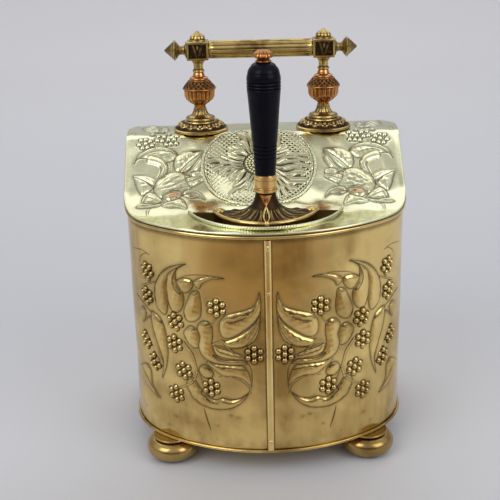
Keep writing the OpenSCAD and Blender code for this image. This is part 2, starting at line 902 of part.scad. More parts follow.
// Turned piece with a hole for the tie rod, at one post
module turned(side, z0, hole_r = rod_r + slip) {
    placed() translate([side * post_x, post_y, z0]) rotate_extrude() difference() {
        children();
        translate([-cut, -cut]) square([hole_r + cut, far]);
    }
}

// Embossed disc with a flat rim and a rising, slightly bulging top
module rosette(side) turned(side, z_disc) {
    rim_t = 3;
    hub_r = disc_r * 0.56;
    polygon([
        [0, 0], [disc_r, 0], [disc_r, rim_t], [disc_r * 0.93, disc_h * 0.53],
        [disc_r * 0.77, disc_h * 0.84], [hub_r, disc_h], [0, disc_h]
    ]);
}

module left_rosette() color(dark_brass) rosette(-1);
module right_rosette() color(dark_brass) rosette(1);

// Collar ring with a hollow flare up to the urn
module stem_foot(side) turned(side, z_stem) {
    collar_r = disc_r * 0.54;
    collar_h = 3.6;
    top_r = 7;
    h = stem_h - collar_h;
    sweep_r = min(h, collar_r - top_r);
    difference() {
        polygon([
            [0, 0], [collar_r, 0], [collar_r, collar_h], [top_r + sweep_r, collar_h],
            [top_r, collar_h + sweep_r], [top_r, stem_h], [0, stem_h]
        ]);
        translate([top_r + sweep_r, collar_h + sweep_r]) circle(r = sweep_r);
    }
}

module left_stem_foot() color(dark_brass) stem_foot(-1);
module right_stem_foot() color(dark_brass) stem_foot(1);

// Urn: round lower bowl, a sharp waist line and a drawn-in shoulder
module urn(side) turned(side, z_urn) polygon([
    [0, 0], [7, 0], [urn_r * 0.55, urn_h * 0.07], [urn_r * 0.68, urn_h * 0.13],
    [urn_r * 0.84, urn_h * 0.25], [urn_r * 0.94, urn_h * 0.42], [urn_r, urn_h * 0.49],
    [urn_r, urn_h * 0.53], [urn_r * 0.93, urn_h * 0.65], [urn_r * 0.8, urn_h * 0.77],
    [urn_r * 0.5, urn_h * 0.89], [6, urn_h * 0.96], [6, urn_h], [0, urn_h]
]);

module left_urn() color(copper) urn(-1);
module right_urn() color(copper) urn(1);

// Neck: a ring at its foot and a flared top under the block
module neck(side) turned(side, z_neck) {
    ring_h = 3.4;
    top_r = 7.7;
    waist_r = 5.4;
    polygon([
        [0, 0], [6, 0], [6.8, ring_h * 0.3], [6.8, ring_h * 0.7], [6, ring_h],
        [waist_r, ring_h + 0.6], [waist_r, neck_h - 4], [top_r, neck_h - 1.7],
        [top_r, neck_h], [0, neck_h]
    ]);
}

module left_neck() color(brass) neck(-1);
module right_neck() color(brass) neck(1);

rod_in_block = block_h * 0.3;

// Square block with a spigot for the bar, drawn for the right-hand post
module block() placed() translate([post_x, post_y, 0]) difference() {
    union() {
        translate([-block_w / 2, -block_w / 2, z_block]) cube([block_w, block_w, block_h]);
        translate([0, 0, z_bar]) rotate([0, -90, 0])
            cylinder(r = bar_r - bar_wall - slip, h = block_w / 2 + spigot_l);
    }
    post(rod_r + slip, z_block - cut, z_block + rod_in_block);
    post(tenon_r + slip, z_block + block_h - tenon_l, z_block + block_h + cut);
    translate([block_w / 2, 0, z_bar]) rotate([0, 90, 0])
        cylinder(r = tenon_r + slip, h = 2 * tenon_l, center = true);
}

module left_block() color(dark_brass) mirror([1, 0, 0]) block();
module right_block() color(dark_brass) block();

module acorn(side) color(brass) placed() translate([side * post_x, post_y, z_acorn]) {
    base_h = acorn_h * 0.14;
    cap_r = acorn_h * 0.78;
    cylinder(r = cap_r + 0.6, h = base_h);
    translate([0, 0, base_h]) dome(cap_r, acorn_h * 0.76);
    cylinder(r = acorn_h * 0.16, h = acorn_h);
    translate([0, 0, -tenon_l + 2 * seat]) cylinder(r = tenon_r, h = tenon_l);
}

module left_acorn() acorn(-1);
module right_acorn() acorn(1);

// Pointed finial along +X, drawn for the right-hand block
module end_finial() color(dark_brass) placed()
    translate([post_x + block_w / 2 + seat, post_y, z_bar]) rotate([0, 90, 0]) {
        neck_r = tip_r * 0.43;
        rotate_extrude() polygon([
            [0, 0], [tip_r * 0.8, 0], [tip_r * 0.8, tip_l * 0.05], [neck_r, tip_l * 0.12],
            [neck_r, tip_l * 0.3], [tip_r * 0.76, tip_l * 0.44], [tip_r, tip_l * 0.52],
            [tip_r, tip_l * 0.57], [tip_r * 0.76, tip_l * 0.68], [0, tip_l]
        ]);
        translate([0, 0, -tenon_l + 2 * seat]) cylinder(r = tenon_r, h = tenon_l);
    }

module left_end_finial() mirror([1, 0, 0]) end_finial();
module right_end_finial() end_finial();

module handle_bar() color(brass) placed() translate([0, post_y, z_bar]) rotate([0, 90, 0])
    difference() {
        cylinder(r = bar_r, h = 2 * bar_half, center = true);
        cylinder(r = bar_r - bar_wall, h = 3 * bar_half, center = true);
    }

post_nut_h = 5;
nut_top = leaf_z - leaf_t / 2 - seat;

module post_rods() color(iron) placed() at_posts()
    post(rod_r, nut_top - post_nut_h - stud_over, z_block + rod_in_block - seat);

module post_nuts() color(iron) placed() at_posts() difference() {
    translate([0, 0, nut_top - post_nut_h]) cylinder(r = rod_r * 2, h = post_nut_h, $fn = 6);
    post(rod_r + slip, nut_top - 2 * post_nut_h, nut_top + cut);
}

// ---- Shovel ----

module at_grip() {
    placed() translate([0, -grip_y, 0]) children();
}

// Section of the scoop's trough between two radii, open to the back
module trough_section(outer, inner) {
    difference() {
        translate([0, blade_r]) circle(r = outer);
        translate([0, blade_r]) circle(r = inner);
        translate([-far, blade_d]) square([2 * far, far]);
    }
}

module scoop_blade() color(brass) placed() intersection() {
    at_scoop() intersection() {
        translate([0, 0, -blade_l]) linear_extrude(height = far)
            trough_section(blade_r, blade_r - blade_t);
        // rounded tip
        rotate([90, 0, 0]) linear_extrude(height = far, center = true) union() {
            translate([0, lip_r - blade_l]) circle(r = lip_r);
            translate([-far, lip_r - blade_l]) square([2 * far, far]);
        }
    }
    slab(0, z_blade);
}

// Height of the hole in the band for the drop-headed rivet, and of the scrolls' tops
drop_z = z_band + band_h / 2;
scroll_top = z_band + band_h + 1.4;
drop_r = 2.1;

module scoop_band() color(brass) placed() difference() {
    union() {
        intersection() {
            at_scoop() translate([0, 0, -far / 2]) linear_extrude(height = far)
                trough_section(blade_r + band_out, blade_r - blade_t - band_out);
            slab(z_band, z_band + band_h);
        }
        at_scrolls() post(scroll_r, z_skirt + seat, scroll_top);
    }
    at_drop() cylinder(r = pin_r + slip, h = 4 * (blade_t + band_out), center = true);
    at_scrolls() post(pin_r + slip, 0, far);
}

// The fan fills the space inside the band, and the tang stands in a blind hole in it
fan_r = blade_r - blade_t - band_out - seat;
tang_foot = z_skirt + 6;

// Centres of the scrolls at the band's back ends
scroll_y = blade_y + blade_d / cos(tilt) - scroll_r - 3;
scroll_x = sqrt(pow(fan_r, 2) - pow(fan_r - blade_d, 2)) - scroll_r - 1.5;
module at_scrolls() {
    for (s = [-1, 1]) translate([s * scroll_x, scroll_y, 0]) children();
}

// Axis of the front rivet, square to the band at its middle height and pointing outwards
module at_drop() {
    at_scoop() translate([0, 0, (drop_z - z_shelf) / cos(tilt)]) rotate([90, 0, 0]) children();
}

module shovel_fan() color(dark_brass) placed() difference() {
    union() {
        // flat skirt inside the band
        intersection() {
            at_scoop() translate([0, 0, -far / 2]) linear_extrude(height = far) intersection() {
                translate([0, blade_r]) circle(r = fan_r);
                translate([-far, -far]) square([2 * far, far + blade_d]);
            }
            slab(z_skirt - skirt_t, z_skirt);
        }
        // hollow flare up to the ferrule
        translate([0, -grip_y, 0]) rotate_extrude() difference() {
            polygon([
                [0, z_skirt - cut], [throat_r + flare_r * 0.72, z_skirt - cut],
                [throat_r + flare_r * 0.72, z_skirt + flare_r * 0.28],
                [throat_r, z_skirt + flare_r], [throat_r, z_fan], [0, z_fan]
            ]);
            translate([throat_r + flare_r, z_skirt + flare_r]) circle(r = flare_r);
        }
    }
    translate([0, -grip_y, 0]) post(tang_r + slip, tang_foot, z_fan + cut);
    at_scrolls() post(pin_r + slip, 0, far);
}

module scoop_rivets() color(copper) placed() {
    // drop-headed rivet at the front
    at_drop() {
        translate([0, 0, band_out + seat]) dome(drop_r, drop_r);
        translate([0, 0, seat - blade_t - band_out]) cylinder(r = pin_r, h = blade_t + 2 * band_out);
    }
    // one rivet through each scroll and the skirt
    at_scrolls() translate([0, 0, scroll_top + seat])
        rivet(scroll_top - z_skirt + skirt_t + 2 * seat, 2.2, 1.2);
}

// Ferrule: tube on a beaded foot, closed below round the tang
ferrule_wall = 2;

module shovel_ferrule() color(brass) at_grip() difference() {
    union() {
        post(ferrule_r, z_ferrule, z_ferrule + ferrule_h);
        translate([0, 0, z_ferrule + 1.7]) rotate_extrude()
            translate([ferrule_r - 0.9, 0]) circle(r = 1.7);
    }
    post(ferrule_r - ferrule_wall, z_ferrule + ferrule_wall, z_ferrule + ferrule_h + cut);
    post(tang_r + slip, 0, far);
    slab(0, z_ferrule);
}

module shovel_grip() color(ebony) at_grip() rotate_extrude() difference() {
    tenon = ferrule_h - ferrule_wall - seat;
    tenon_out = ferrule_r - ferrule_wall - slip;
    swell = grip_r - grip_low_r;
    translate([0, z_grip + seat]) polygon([
        [0, -tenon], [tenon_out, -tenon], [tenon_out, 0], [grip_low_r, 0],
        [grip_low_r + swell * 0.17, grip_h * 0.13],
        [grip_low_r + swell * 0.28, grip_h * 0.25],
        [grip_low_r + swell * 0.57, grip_h * 0.5],
        [grip_low_r + swell * 0.85, grip_h * 0.71],
        [grip_r, grip_h * 0.83],
        [grip_r * 0.98, grip_h * 0.89], [grip_r * 0.88, grip_h * 0.94],
        [grip_r * 0.66, grip_h * 0.98], [grip_r * 0.4, grip_h - seat], [0, grip_h - seat]
    ]);
    translate([-cut, 0]) square([tang_r + slip + cut, 2 * far]);
}

module shovel_finial() color(copper) at_grip() translate([0, 0, z_knob]) rotate_extrude()
    difference() {
        polygon([
            [0, 0], [knob_r * 0.72, 0], [knob_r * 0.6, knob_h * 0.12],
            [knob_r * 0.75, knob_h * 0.3], [knob_r, knob_h * 0.42],
            [knob_r, knob_h * 0.56], [knob_r * 0.75, knob_h * 0.82],
            [knob_r * 0.4, knob_h * 0.96], [0, knob_h]
        ]);
        translate([-cut, -cut]) square([tang_r + slip + cut, knob_h * 0.5 + cut]);
    }

module shovel_tang() color(iron) at_grip()
    post(tang_r, tang_foot + seat, z_knob + knob_h * 0.5 - seat);

base_plate();
left_side_panel();
right_side_panel();
back_panel();
back_rivets();
front_cover_strip();
seam_backing_strip();
strip_pins();
liner();
front_left_foot();
front_right_foot();
rear_left_foot();
rear_right_foot();
foot_studs();
foot_nuts();
hinge_case_leaf();
hinge_rivets();
hinge_pin();
lid_sheet();
lid_rim_bead();
slot_bead();
pocket_trough();
pocket_back_sheet();
hinge_lid_leaf();
left_rosette();
right_rosette();
left_stem_foot();
right_stem_foot();
left_urn();
right_urn();
left_neck();
right_neck();
left_block();
right_block();
left_acorn();
right_acorn();
left_end_finial();
right_end_finial();
handle_bar();
post_rods();
post_nuts();
shovel_grip();
shovel_finial();
shovel_ferrule();
shovel_tang();
shovel_fan();
scoop_band();
scoop_blade();
scoop_rivets();
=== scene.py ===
"""Coal scuttle with embossed brass sheets, a bar handle and a shovel in its lid."""

import math

import bpy
import numpy as np
from mathutils import Matrix, Vector


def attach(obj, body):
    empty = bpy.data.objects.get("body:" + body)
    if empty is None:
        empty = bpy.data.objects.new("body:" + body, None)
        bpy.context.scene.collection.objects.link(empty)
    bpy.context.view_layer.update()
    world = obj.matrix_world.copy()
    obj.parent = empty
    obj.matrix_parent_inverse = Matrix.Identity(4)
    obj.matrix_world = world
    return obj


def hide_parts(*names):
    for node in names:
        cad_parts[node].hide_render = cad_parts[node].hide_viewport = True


bl_info = {
    "name": "Coal Scuttle",
    "version": (1, 0, 0),
    "blender": (4, 5, 0),
    "location": "View3D > Sidebar > Coal Scuttle",
    "description": "Builds the dressed pieces of an embossed brass coal scuttle round its frame",
    "category": "Object",
}

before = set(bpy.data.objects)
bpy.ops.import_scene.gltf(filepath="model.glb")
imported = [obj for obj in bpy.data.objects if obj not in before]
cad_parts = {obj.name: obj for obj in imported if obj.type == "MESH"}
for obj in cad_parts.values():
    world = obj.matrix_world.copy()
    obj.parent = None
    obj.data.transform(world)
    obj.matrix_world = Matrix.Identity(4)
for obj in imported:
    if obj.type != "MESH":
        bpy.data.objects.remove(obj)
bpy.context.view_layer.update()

MM = 0.001
SHIFT = -5.84  # from the oval's cross line to the frame's origin, along Y

# Plan of the case, in millimetres; s runs along its outline from the front seam
HALF_W, FRONT, REAR = 150.0, 112.5, 122.0
BEND_R, CORNER_R = 92.0, 22.0
FLARE = math.radians(2.0)
BEND_X = HALF_W - BEND_R
WIDE_R = (BEND_R**2 - FRONT**2 - BEND_X**2) / (2 * (BEND_R - FRONT))
WIDE_Y = WIDE_R - FRONT
JOIN = math.atan2(BEND_X, WIDE_Y)
CORNER_Y = REAR - CORNER_R
CORNER_X = BEND_X + (BEND_R - CORNER_R + math.sin(FLARE) * CORNER_Y) / math.cos(FLARE)
BEND_END = math.pi / 2 - FLARE
S_WIDE = WIDE_R * JOIN
S_BEND = S_WIDE + BEND_R * (BEND_END - JOIN)
S_SIDE = S_BEND + (CORNER_X - BEND_X) * math.sin(FLARE) + CORNER_Y * math.cos(FLARE)
S_CORNER = S_SIDE + CORNER_R * (math.pi - BEND_END)
RETURN_W = 16.0

# Heights and sheets
Z_BASE, Z_FLOOR, Z_RIM, Z_SHELF, Z_CREST = 28.0, 31.0, 269.0, 276.0, 334.0
SHEET_T, LID_T, SEAT = 1.5, 1.5, 0.2

# The lid's profile; a runs along it, 0 where the hollow starts
HOLLOW_R, CREST_R, CREST_Y = 105.0, 20.0, 74.0
SLOPE = math.radians(31.7)
_bends = CREST_R + HOLLOW_R
HOLLOW_Y = CREST_Y - (_bends + (Z_CREST - Z_SHELF - _bends) * math.cos(SLOPE)) / math.sin(SLOPE)
A_HOLLOW = HOLLOW_R * SLOPE
_rise_y0 = HOLLOW_Y + HOLLOW_R * math.sin(SLOPE)
_rise_y1 = CREST_Y - CREST_R * math.sin(SLOPE)
A_RISE = A_HOLLOW + (_rise_y1 - _rise_y0) / math.cos(SLOPE)
A_CREST = A_RISE + CREST_R * SLOPE
LID_BACK = 120.0
RIM_END = 111.0  # where the lid's rim mouldings end at the back

# The slot and the shovel
SLOT_HALF_W, SLOT_BACK, SLOT_FRONT = 79.0, -43.0, -102.0
SLOT_R = (SLOT_HALF_W**2 + (SLOT_BACK - SLOT_FRONT) ** 2) / (2 * (SLOT_BACK - SLOT_FRONT))
SLOT_C = SLOT_FRONT + SLOT_R
TILT = math.radians(30.0)
BLADE_R, BLADE_T, BLADE_Y = 57.0, 1.5, -92.0
BLADE_DEPTH = (SLOT_BACK - 2.5 - BLADE_Y) * math.cos(TILT)
GRIP_Y = -61.0
Z_FAN, Z_FERRULE, Z_GRIP, Z_KNOB, Z_BAND = 280.2, 304.4, 322.4, 436.05, 279.45
FAN_R, FAN_FLARE, BAND_OUT = 10.5, 23.0, 1.1

# The handle
POST_X, POST_Y = 71.0, 94.0
Z_DISC, Z_STEM, Z_URN, Z_NECK, Z_BLOCK, Z_BAR, Z_ACORN = 334.2, 346.4, 362.0, 400.8, 415.6, 425.8, 436.2
DISC_R, URN_H, BLOCK_W, BLOCK_H, BAR_R = 31.6, 38.6, 24.6, 20.4, 10.2

# The medallion
MED_X, MED_Y, MED_R, MED_LEAN = -5.5, 26.5, 62.7, math.radians(26.2)
BOSS_R, BOSS_UP = 17.0, 1.4

# The camera, fitted to the photograph
CAM = np.array([-17.5, -1035.9, 592.8])
CAM_PITCH, CAM_ROLL, CAM_F = math.radians(20.0), math.radians(1.4), 985.0


# ---- Small helpers ----


def bell(x, width):
    """1 where x is 0, dying away over the width on both sides."""
    return np.exp(-((x / width) ** 2))


def held(x):
    """x, held between 0 and 1."""
    return np.clip(x, 0, 1)


def dome(x):
    """Height of a half ball at a distance x from its middle."""
    return np.sqrt(held(1 - x**2))


def stretch(z, low, high, rise, fall):
    """1 between two heights, with a soft rise at one end and a fall at the other."""
    return held((z - low) / rise) * held((high - z) / fall)


def circle(count):
    """Angles of evenly spaced places round a circle."""
    return np.linspace(0, 2 * math.pi, count, endpoint=False)


# ---- Geometry of the sheets ----


def camera_axes():
    """Forward, right and up directions of the camera."""
    fwd = np.array([0.0, math.cos(CAM_PITCH), -math.sin(CAM_PITCH)])
    level = np.array([1.0, 0.0, 0.0])
    up = np.cross(level, fwd)
    c, s = math.cos(CAM_ROLL), math.sin(CAM_ROLL)
    return fwd, c * level - s * up, c * up + s * level


def sight(px, py):
    """Direction of the sight line through a place in the photograph."""
    fwd, r, u = camera_axes()
    return fwd + (px - 250.0) / CAM_F * r - (py - 250.0) / CAM_F * u


def plan_at(s, o=0.0):
    """Point and outward normal on the case's right-hand outline, moved outwards by o."""
    s = np.asarray(s, float)
    cx, cy = np.zeros_like(s), np.full_like(s, WIDE_Y)
    r, a = np.full_like(s, WIDE_R), s / WIDE_R
    k = s > S_WIDE
    cx[k], cy[k], r[k] = BEND_X, 0.0, BEND_R
    a[k] = JOIN + (s[k] - S_WIDE) / BEND_R
    k = s > S_BEND
    cx[k] = BEND_X + (s[k] - S_BEND) * math.sin(FLARE)
    cy[k] = (s[k] - S_BEND) * math.cos(FLARE)
    a[k] = BEND_END
    k = s > S_SIDE
    cx[k], cy[k], r[k] = CORNER_X, CORNER_Y, CORNER_R
    a[k] = BEND_END + (s[k] - S_SIDE) / CORNER_R
    k = s > S_CORNER
    cx[k] = CORNER_X - (s[k] - S_CORNER)
    a[k] = math.pi
    nx, ny = np.sin(a), -np.cos(a)
    return cx + (r + o) * nx, cy + (r + o) * ny, nx, ny


def lid_at(a):
    """Y, Z and normal (Y, Z) of the lid's top along its profile."""
    a = np.asarray(a, float)
    y, z, t = HOLLOW_Y + a, np.full_like(a, Z_SHELF), np.zeros_like(a)
    k = a > 0
    t[k] = a[k] / HOLLOW_R
    y[k] = HOLLOW_Y + HOLLOW_R * np.sin(t[k])
    z[k] = Z_SHELF + HOLLOW_R * (1 - np.cos(t[k]))
    k = a > A_HOLLOW
    t[k] = SLOPE
    y[k] = _rise_y0 + (a[k] - A_HOLLOW) * math.cos(SLOPE)
    z[k] = Z_SHELF + HOLLOW_R * (1 - math.cos(SLOPE)) + (a[k] - A_HOLLOW) * math.sin(SLOPE)
    k = a > A_RISE
    t[k] = SLOPE - (a[k] - A_RISE) / CREST_R
    y[k] = CREST_Y - CREST_R * np.sin(t[k])
    z[k] = Z_CREST - CREST_R * (1 - np.cos(t[k]))
    k = a > A_CREST
    t[k] = 0.0
    y[k] = CREST_Y + a[k] - A_CREST
    z[k] = Z_CREST
    return y, z, -np.sin(t), np.cos(t)


_a_steps = np.linspace(-70.0, 215.0, 2851)
_y_steps, _z_steps, _, _ = lid_at(_a_steps)
_s_steps = np.linspace(0.0, S_CORNER, 4001)


def a_of_y(y):
    """Place along the lid's profile at a distance behind the cross line."""
    return np.interp(y, _y_steps, _a_steps)


def lid_z(y):
    """Height of the lid's top at a distance behind the cross line."""
    return np.interp(y, _y_steps, _z_steps)


def half_width(y, o):
    """Half width of the outline, moved outwards by o, at a distance behind the cross line."""
    x, yy, _, _ = plan_at(_s_steps, o)
    return np.interp(y, yy, x)


def on_lid(places):
    """(x, a) on the lid for places in the photograph."""
    out = []
    for px, py in places:
        d = sight(px, py)
        t = (_y_steps + SHIFT - CAM[1]) / d[1]
        below = CAM[2] + t * d[2] < _z_steps
        i = int(np.argmax(below)) if below.any() else len(t) - 1
        out.append((CAM[0] + t[i] * d[0], _a_steps[i]))
    return np.array(out)


def on_case(places):
    """(s, z) on the left panel for places in the photograph."""
    x, y, _, _ = plan_at(_s_steps)
    x, y = -x - CAM[0], y + SHIFT - CAM[1]
    out = []
    for px, py in places:
        d = sight(px, py)
        side = x * d[1] - y * d[0]
        flips = np.nonzero(side[:-1] * side[1:] <= 0)[0]
        i = int(flips[0]) if len(flips) else int(np.argmin(np.abs(side)))
        t = (x[i] * d[0] + y[i] * d[1]) / (d[0] ** 2 + d[1] ** 2)
        out.append((_s_steps[i], CAM[2] + t * d[2]))
    return np.array(out)


# ---- Embossing ----


def smooth_line(points, closed=False, steps=7):
    """Soft curve through a few points."""
    p = np.asarray(points, float)
    n = len(p)
    if n < 3 and not closed:
        return p
    out = []
    for i in range(n if closed else n - 1):
        near = (k % n if closed else min(max(k, 0), n - 1) for k in range(i - 1, i + 3))
        p0, p1, p2, p3 = (p[k] for k in near)
        for t in np.arange(steps) / steps:
            bend = (2 * p0 - 5 * p1 + 4 * p2 - p3) * t * t + (3 * p1 - p0 - 3 * p2 + p3) * t**3
            out.append(0.5 * (2 * p1 + (p2 - p0) * t + bend))
    return np.array(out if closed else out + [p[-1]])


def line_distance(u, v, line, closed=False):
    """Distance of each point to a line, and how far along the line its nearest place is, 0 to 1."""
    q = np.vstack([line, line[:1]]) if closed else line
    seg = np.diff(q, axis=0)
    length = np.hypot(seg[:, 0], seg[:, 1]) + 1e-9
    start = np.concatenate([[0.0], np.cumsum(length)])
    best, along = np.full(u.shape, 1e9), np.zeros(u.shape)
    for (qu, qv), (su, sv), size, at in zip(q, seg, length, start):
        t = held(((u - qu) * su + (v - qv) * sv) / size**2)
        d = np.hypot(u - qu - t * su, v - qv - t * sv)
        k = d < best
        best[k] = d[k]
        along[k] = (at + t[k] * size) / start[-1]
    return best, along


def inside(u, v, line):
    """True for points inside a closed line."""
    odd = np.zeros(u.shape, bool)
    for (x, y), (x2, y2) in zip(line, np.roll(line, -1, axis=0)):
        if y != y2:
            odd ^= ((y > v) != (y2 > v)) & (u < (x2 - x) * (v - y) / (y2 - y) + x)
    return odd


class Relief:
    """Heights, patina with painted shade, and brown stains of an embossed sheet, at points (u, v) along it.
    """

    def __init__(self, u, v):
        self.shape = u.shape
        self.u, self.v = u.ravel(), v.ravel()
        self.h, self.dark, self.warm = np.zeros((3, u.size))
        self.at = np.asarray  # places the points of leaves, stems and lines on the sheet

    def near(self, points, pad):
        """Which points of the sheet lie near a few places."""
        (u0, v0), (u1, v1) = points.min(0) - pad, points.max(0) + pad
        return np.nonzero((self.u > u0) & (self.u < u1) & (self.v > v0) & (self.v < v1))[0]

    def darken(self, k, amount):
        self.dark[k] = np.maximum(self.dark[k], amount)

    def ripple(self, depth, across=1.0):
        """Slight unevenness of a sheet beaten by hand."""
        u, v = self.u, self.v * across
        waves = (
            (0.061, 0.033, 0.4), (0.029, 0.073, 1.9), (0.113, -0.061, 3.1),
            (-0.092, 0.131, 5.2), (0.187, 0.092, 0.9), (0.241, 0.151, 2.6),
        )
        for i, (a, b, c) in enumerate(waves):
            self.h += depth / (1 + 0.8 * i) * np.sin(a * u + b * v + c + 0.8 * np.sin(0.021 * v))

    def dents(self, k):
        """Marks of the embossing tools."""
        u, v = self.u[k], self.v[k]
        fine_dents = np.sin(1.35 * u + 1.1 * np.sin(0.7 * v)) * np.sin(1.15 * v + 0.6 * u)
        broad_dents = np.sin(0.62 * u - 0.35 * v + 1.0) * np.sin(0.4 * u + 0.66 * v)
        return fine_dents + 3.2 * broad_dents

    def berry(self, u, v, r, high):
        k = self.near(np.array([[u, v]]), 2.2 * r)
        d = np.hypot(self.u[k] - u, self.v[k] - v) / r
        ball = np.maximum(np.minimum(self.h[k], 0.35 * high), high * dome(d))
        self.h[k] = np.where(d < 1, ball, self.h[k] - 0.4 * bell(d - 1.2, 0.25))
        dark = np.maximum(self.dark[k], bell(d - 1.1, 0.3))
        self.dark[k] = np.where(d < 0.86, self.dark[k] * 0.15, dark)

    def cluster(self, u, v, ring, r, high, turn=0.0):
        """A berry with six round it, in a ground darkened with painted shade."""
        # painted shade in the ground among the berries
        self.spot(u, v, 1.5 * ring, 0.6)
        for a in turn + circle(6):
            self.berry(u + ring * math.cos(a), v + ring * math.sin(a), r, high)
        self.berry(u, v, r, high * 1.1)

    def leaf(self, points, high, edge=4.0, rib=None, veins=0, outline=0.6, warm=0.0):
        """Pillow with a cut outline, and a rib with veins where it has them."""
        line = smooth_line(self.at(points), closed=True)
        k = self.near(line, 4.0)
        u, v = self.u[k], self.v[k]
        d, _ = line_distance(u, v, line, closed=True)
        within = inside(u, v, line)
        widest = d[within].max() if within.any() else edge
        x = held(d / min(1.25 * edge, 0.95 * widest))
        bulge = high * held(1 - (1 - x) ** 2.0) ** 0.85 + 0.13 * self.dents(k) * x
        dark = 0.4 * bell(d, 1.6)
        if rib is not None:
            dm, along = line_distance(u, v, smooth_line(self.at(rib)))
            bulge = bulge * (1 - 0.75 * bell(dm, 1.4))
            dark = np.maximum(dark, 0.75 * bell(dm, 0.8) * within)
            if veins:
                cut = bell((along * veins - dm / 7.0) % 1.0 - 0.5, 0.1) * within * x
                bulge = bulge - 0.35 * cut
                dark = np.maximum(dark, 0.6 * cut)
        self.h[k] = np.where(within, np.maximum(self.h[k] * 0.3, bulge), self.h[k])
        self.dark[k] = np.where(within, dark, self.dark[k])
        self.warm[k] = np.where(within & (warm > 0), warm * x, self.warm[k])
        self.h[k] -= 0.4 * bell(d, outline)
        # patina in the cut outline; the soft halo round the leaf's outside is painted shade at its foot
        self.darken(k, np.maximum(bell(d, outline), 0.35 * bell(d, 2.2) * ~within))

    def stem(self, points, w0, w1, high):
        """Round stem that narrows from one half width to another."""
        line = smooth_line(self.at(points))
        k = self.near(line, max(w0, w1) + 1.5)
        d, along = line_distance(self.u[k], self.v[k], line)
        w = w0 + (w1 - w0) * along
        self.h[k] = np.maximum(self.h[k], high * dome(d / w))
        self.dark[k] = np.maximum(self.dark[k] * (d > w), bell(d - w, 0.35))

    def line(self, points, width=0.45, depth=0.3, dark=1.0):
        """Line cut with a graver, finer at its ends."""
        line = smooth_line(self.at(points))
        k = self.near(line, 2.0)
        d, along = line_distance(self.u[k], self.v[k], line)
        cut = bell(d, width * (0.35 + 0.65 * np.sin(math.pi * np.clip(along, 0.03, 0.97))))
        self.h[k] -= depth * cut
        self.darken(k, dark * cut)

    def soften(self, times):
        """Rounds off the creases, all but the sheet's own edges."""
        h = self.h.reshape(self.shape)
        for _ in range(times):
            beside = h[:-2, 1:-1] + h[2:, 1:-1] + h[1:-1, :-2] + h[1:-1, 2:]
            corners = h[:-2, :-2] + h[2:, 2:] + h[2:, :-2] + h[:-2, 2:]
            h[1:-1, 1:-1] = h[1:-1, 1:-1] / 4 + beside / 8 + corners / 16

    def spot(self, u, v, r, amount):
        """Uneven dark spot."""
        k = self.near(np.array([[u, v]]), 3 * r)
        d = np.hypot((self.u[k] - u), (self.v[k] - v) * 1.4) / r
        wob = 1 + 0.3 * np.sin(1.7 * self.u[k] + 0.9 * self.v[k]) * np.sin(1.1 * self.v[k])
        self.darken(k, amount * bell(d * wob, 1.0))


# ---- Mesh making ----


def deselect():
    bpy.ops.object.select_all(action="DESELECT")


def settle():
    """Applies the active object's place, turn and size to its mesh."""
    bpy.ops.object.transform_apply(location=True, rotation=True, scale=True)


def open_mesh():
    """Opens the active object's mesh with all of it picked."""
    bpy.ops.object.mode_set(mode="EDIT")
    bpy.ops.mesh.select_all(action="SELECT")


def close_mesh():
    bpy.ops.object.mode_set(mode="OBJECT")


def outwards(ob):
    """Turns an object's faces outwards."""
    deselect()
    ob.select_set(True)
    bpy.context.view_layer.objects.active = ob
    open_mesh()
    bpy.ops.mesh.normals_make_consistent(inside=False)
    close_mesh()


def shade(me, angle):
    """Shades a mesh softly, with creases where faces meet at more than an angle."""
    me.shade_smooth()
    me.set_sharp_from_angle(angle=math.radians(angle))


def points_of(me):
    """Points of a mesh, in millimetres."""
    co = np.empty(len(me.vertices) * 3)
    me.vertices.foreach_get("co", co)
    return co.reshape(-1, 3) / MM


def give_values(me, key, values):
    """Gives each point of a mesh a value that its finish reads."""
    at = me.attributes.new(key, "FLOAT", "POINT")
    at.data.foreach_set("value", np.asarray(values, np.float32))


def sheet_mesh(name, points, faces, values=None, angle=40.0):
    """Object from points in millimetres, relative to the cross line."""
    v = np.asarray(points, float).reshape(-1, 3) + (0, SHIFT, 0)
    me = bpy.data.meshes.new(name)
    me.from_pydata((v * MM).tolist(), [], faces)
    shade(me, angle)
    for key, val in (values or {}).items():
        give_values(me, key, val)
    ob = bpy.data.objects.new(name, me)
    bpy.context.scene.collection.objects.link(ob)
    return ob


def grid_faces(rows, cols, start=0, wrap=False, flip=False):
    """Quads of a grid of points; wrap joins the last column to the first."""
    r = np.arange(rows - 1)[:, None]
    c = np.arange(cols if wrap else cols - 1)[None, :]
    a = start + r * cols + c
    b = start + r * cols + (c + 1) % cols
    q = np.stack([a, b, b + cols, a + cols], -1).reshape(-1, 4)
    return (q[:, ::-1] if flip else q).tolist()


def closing_faces(grid, low, high, flip=False):
    """Plain back of a sheet, one strip for each row, with the sheet's edges.

    grid numbers the points of the sheet's face, low and high those at the two ends of the strips.
    """
    g, a, b = grid.tolist(), low.tolist(), high.tolist()
    faces = [[a[0], b[0]] + g[0][::-1], g[-1] + [b[-1], a[-1]]]
    for i in range(len(g) - 1):
        k = i + 1
        faces.append([a[i], a[k], b[k], b[i]])
        faces.append([g[i][0], g[k][0], a[k], a[i]])
        faces.append([g[k][-1], g[i][-1], b[i], b[k]])
    return [f[::-1] for f in faces] if flip else faces


def tube_mesh(name, rings, angle=50.0, dark=None, flip=False):
    """Skin over rings of points (n, m, 3), closed across each ring and capped at its ends."""
    n, m = rings.shape[:2]
    faces = grid_faces(n, m, wrap=True) + [list(range(m))[::-1], list(range((n - 1) * m, n * m))]
    if flip:
        faces = [f[::-1] for f in faces]
    ob = sheet_mesh(name, rings, faces, None if dark is None else {"patina": dark}, angle)
    outwards(ob)
    return ob


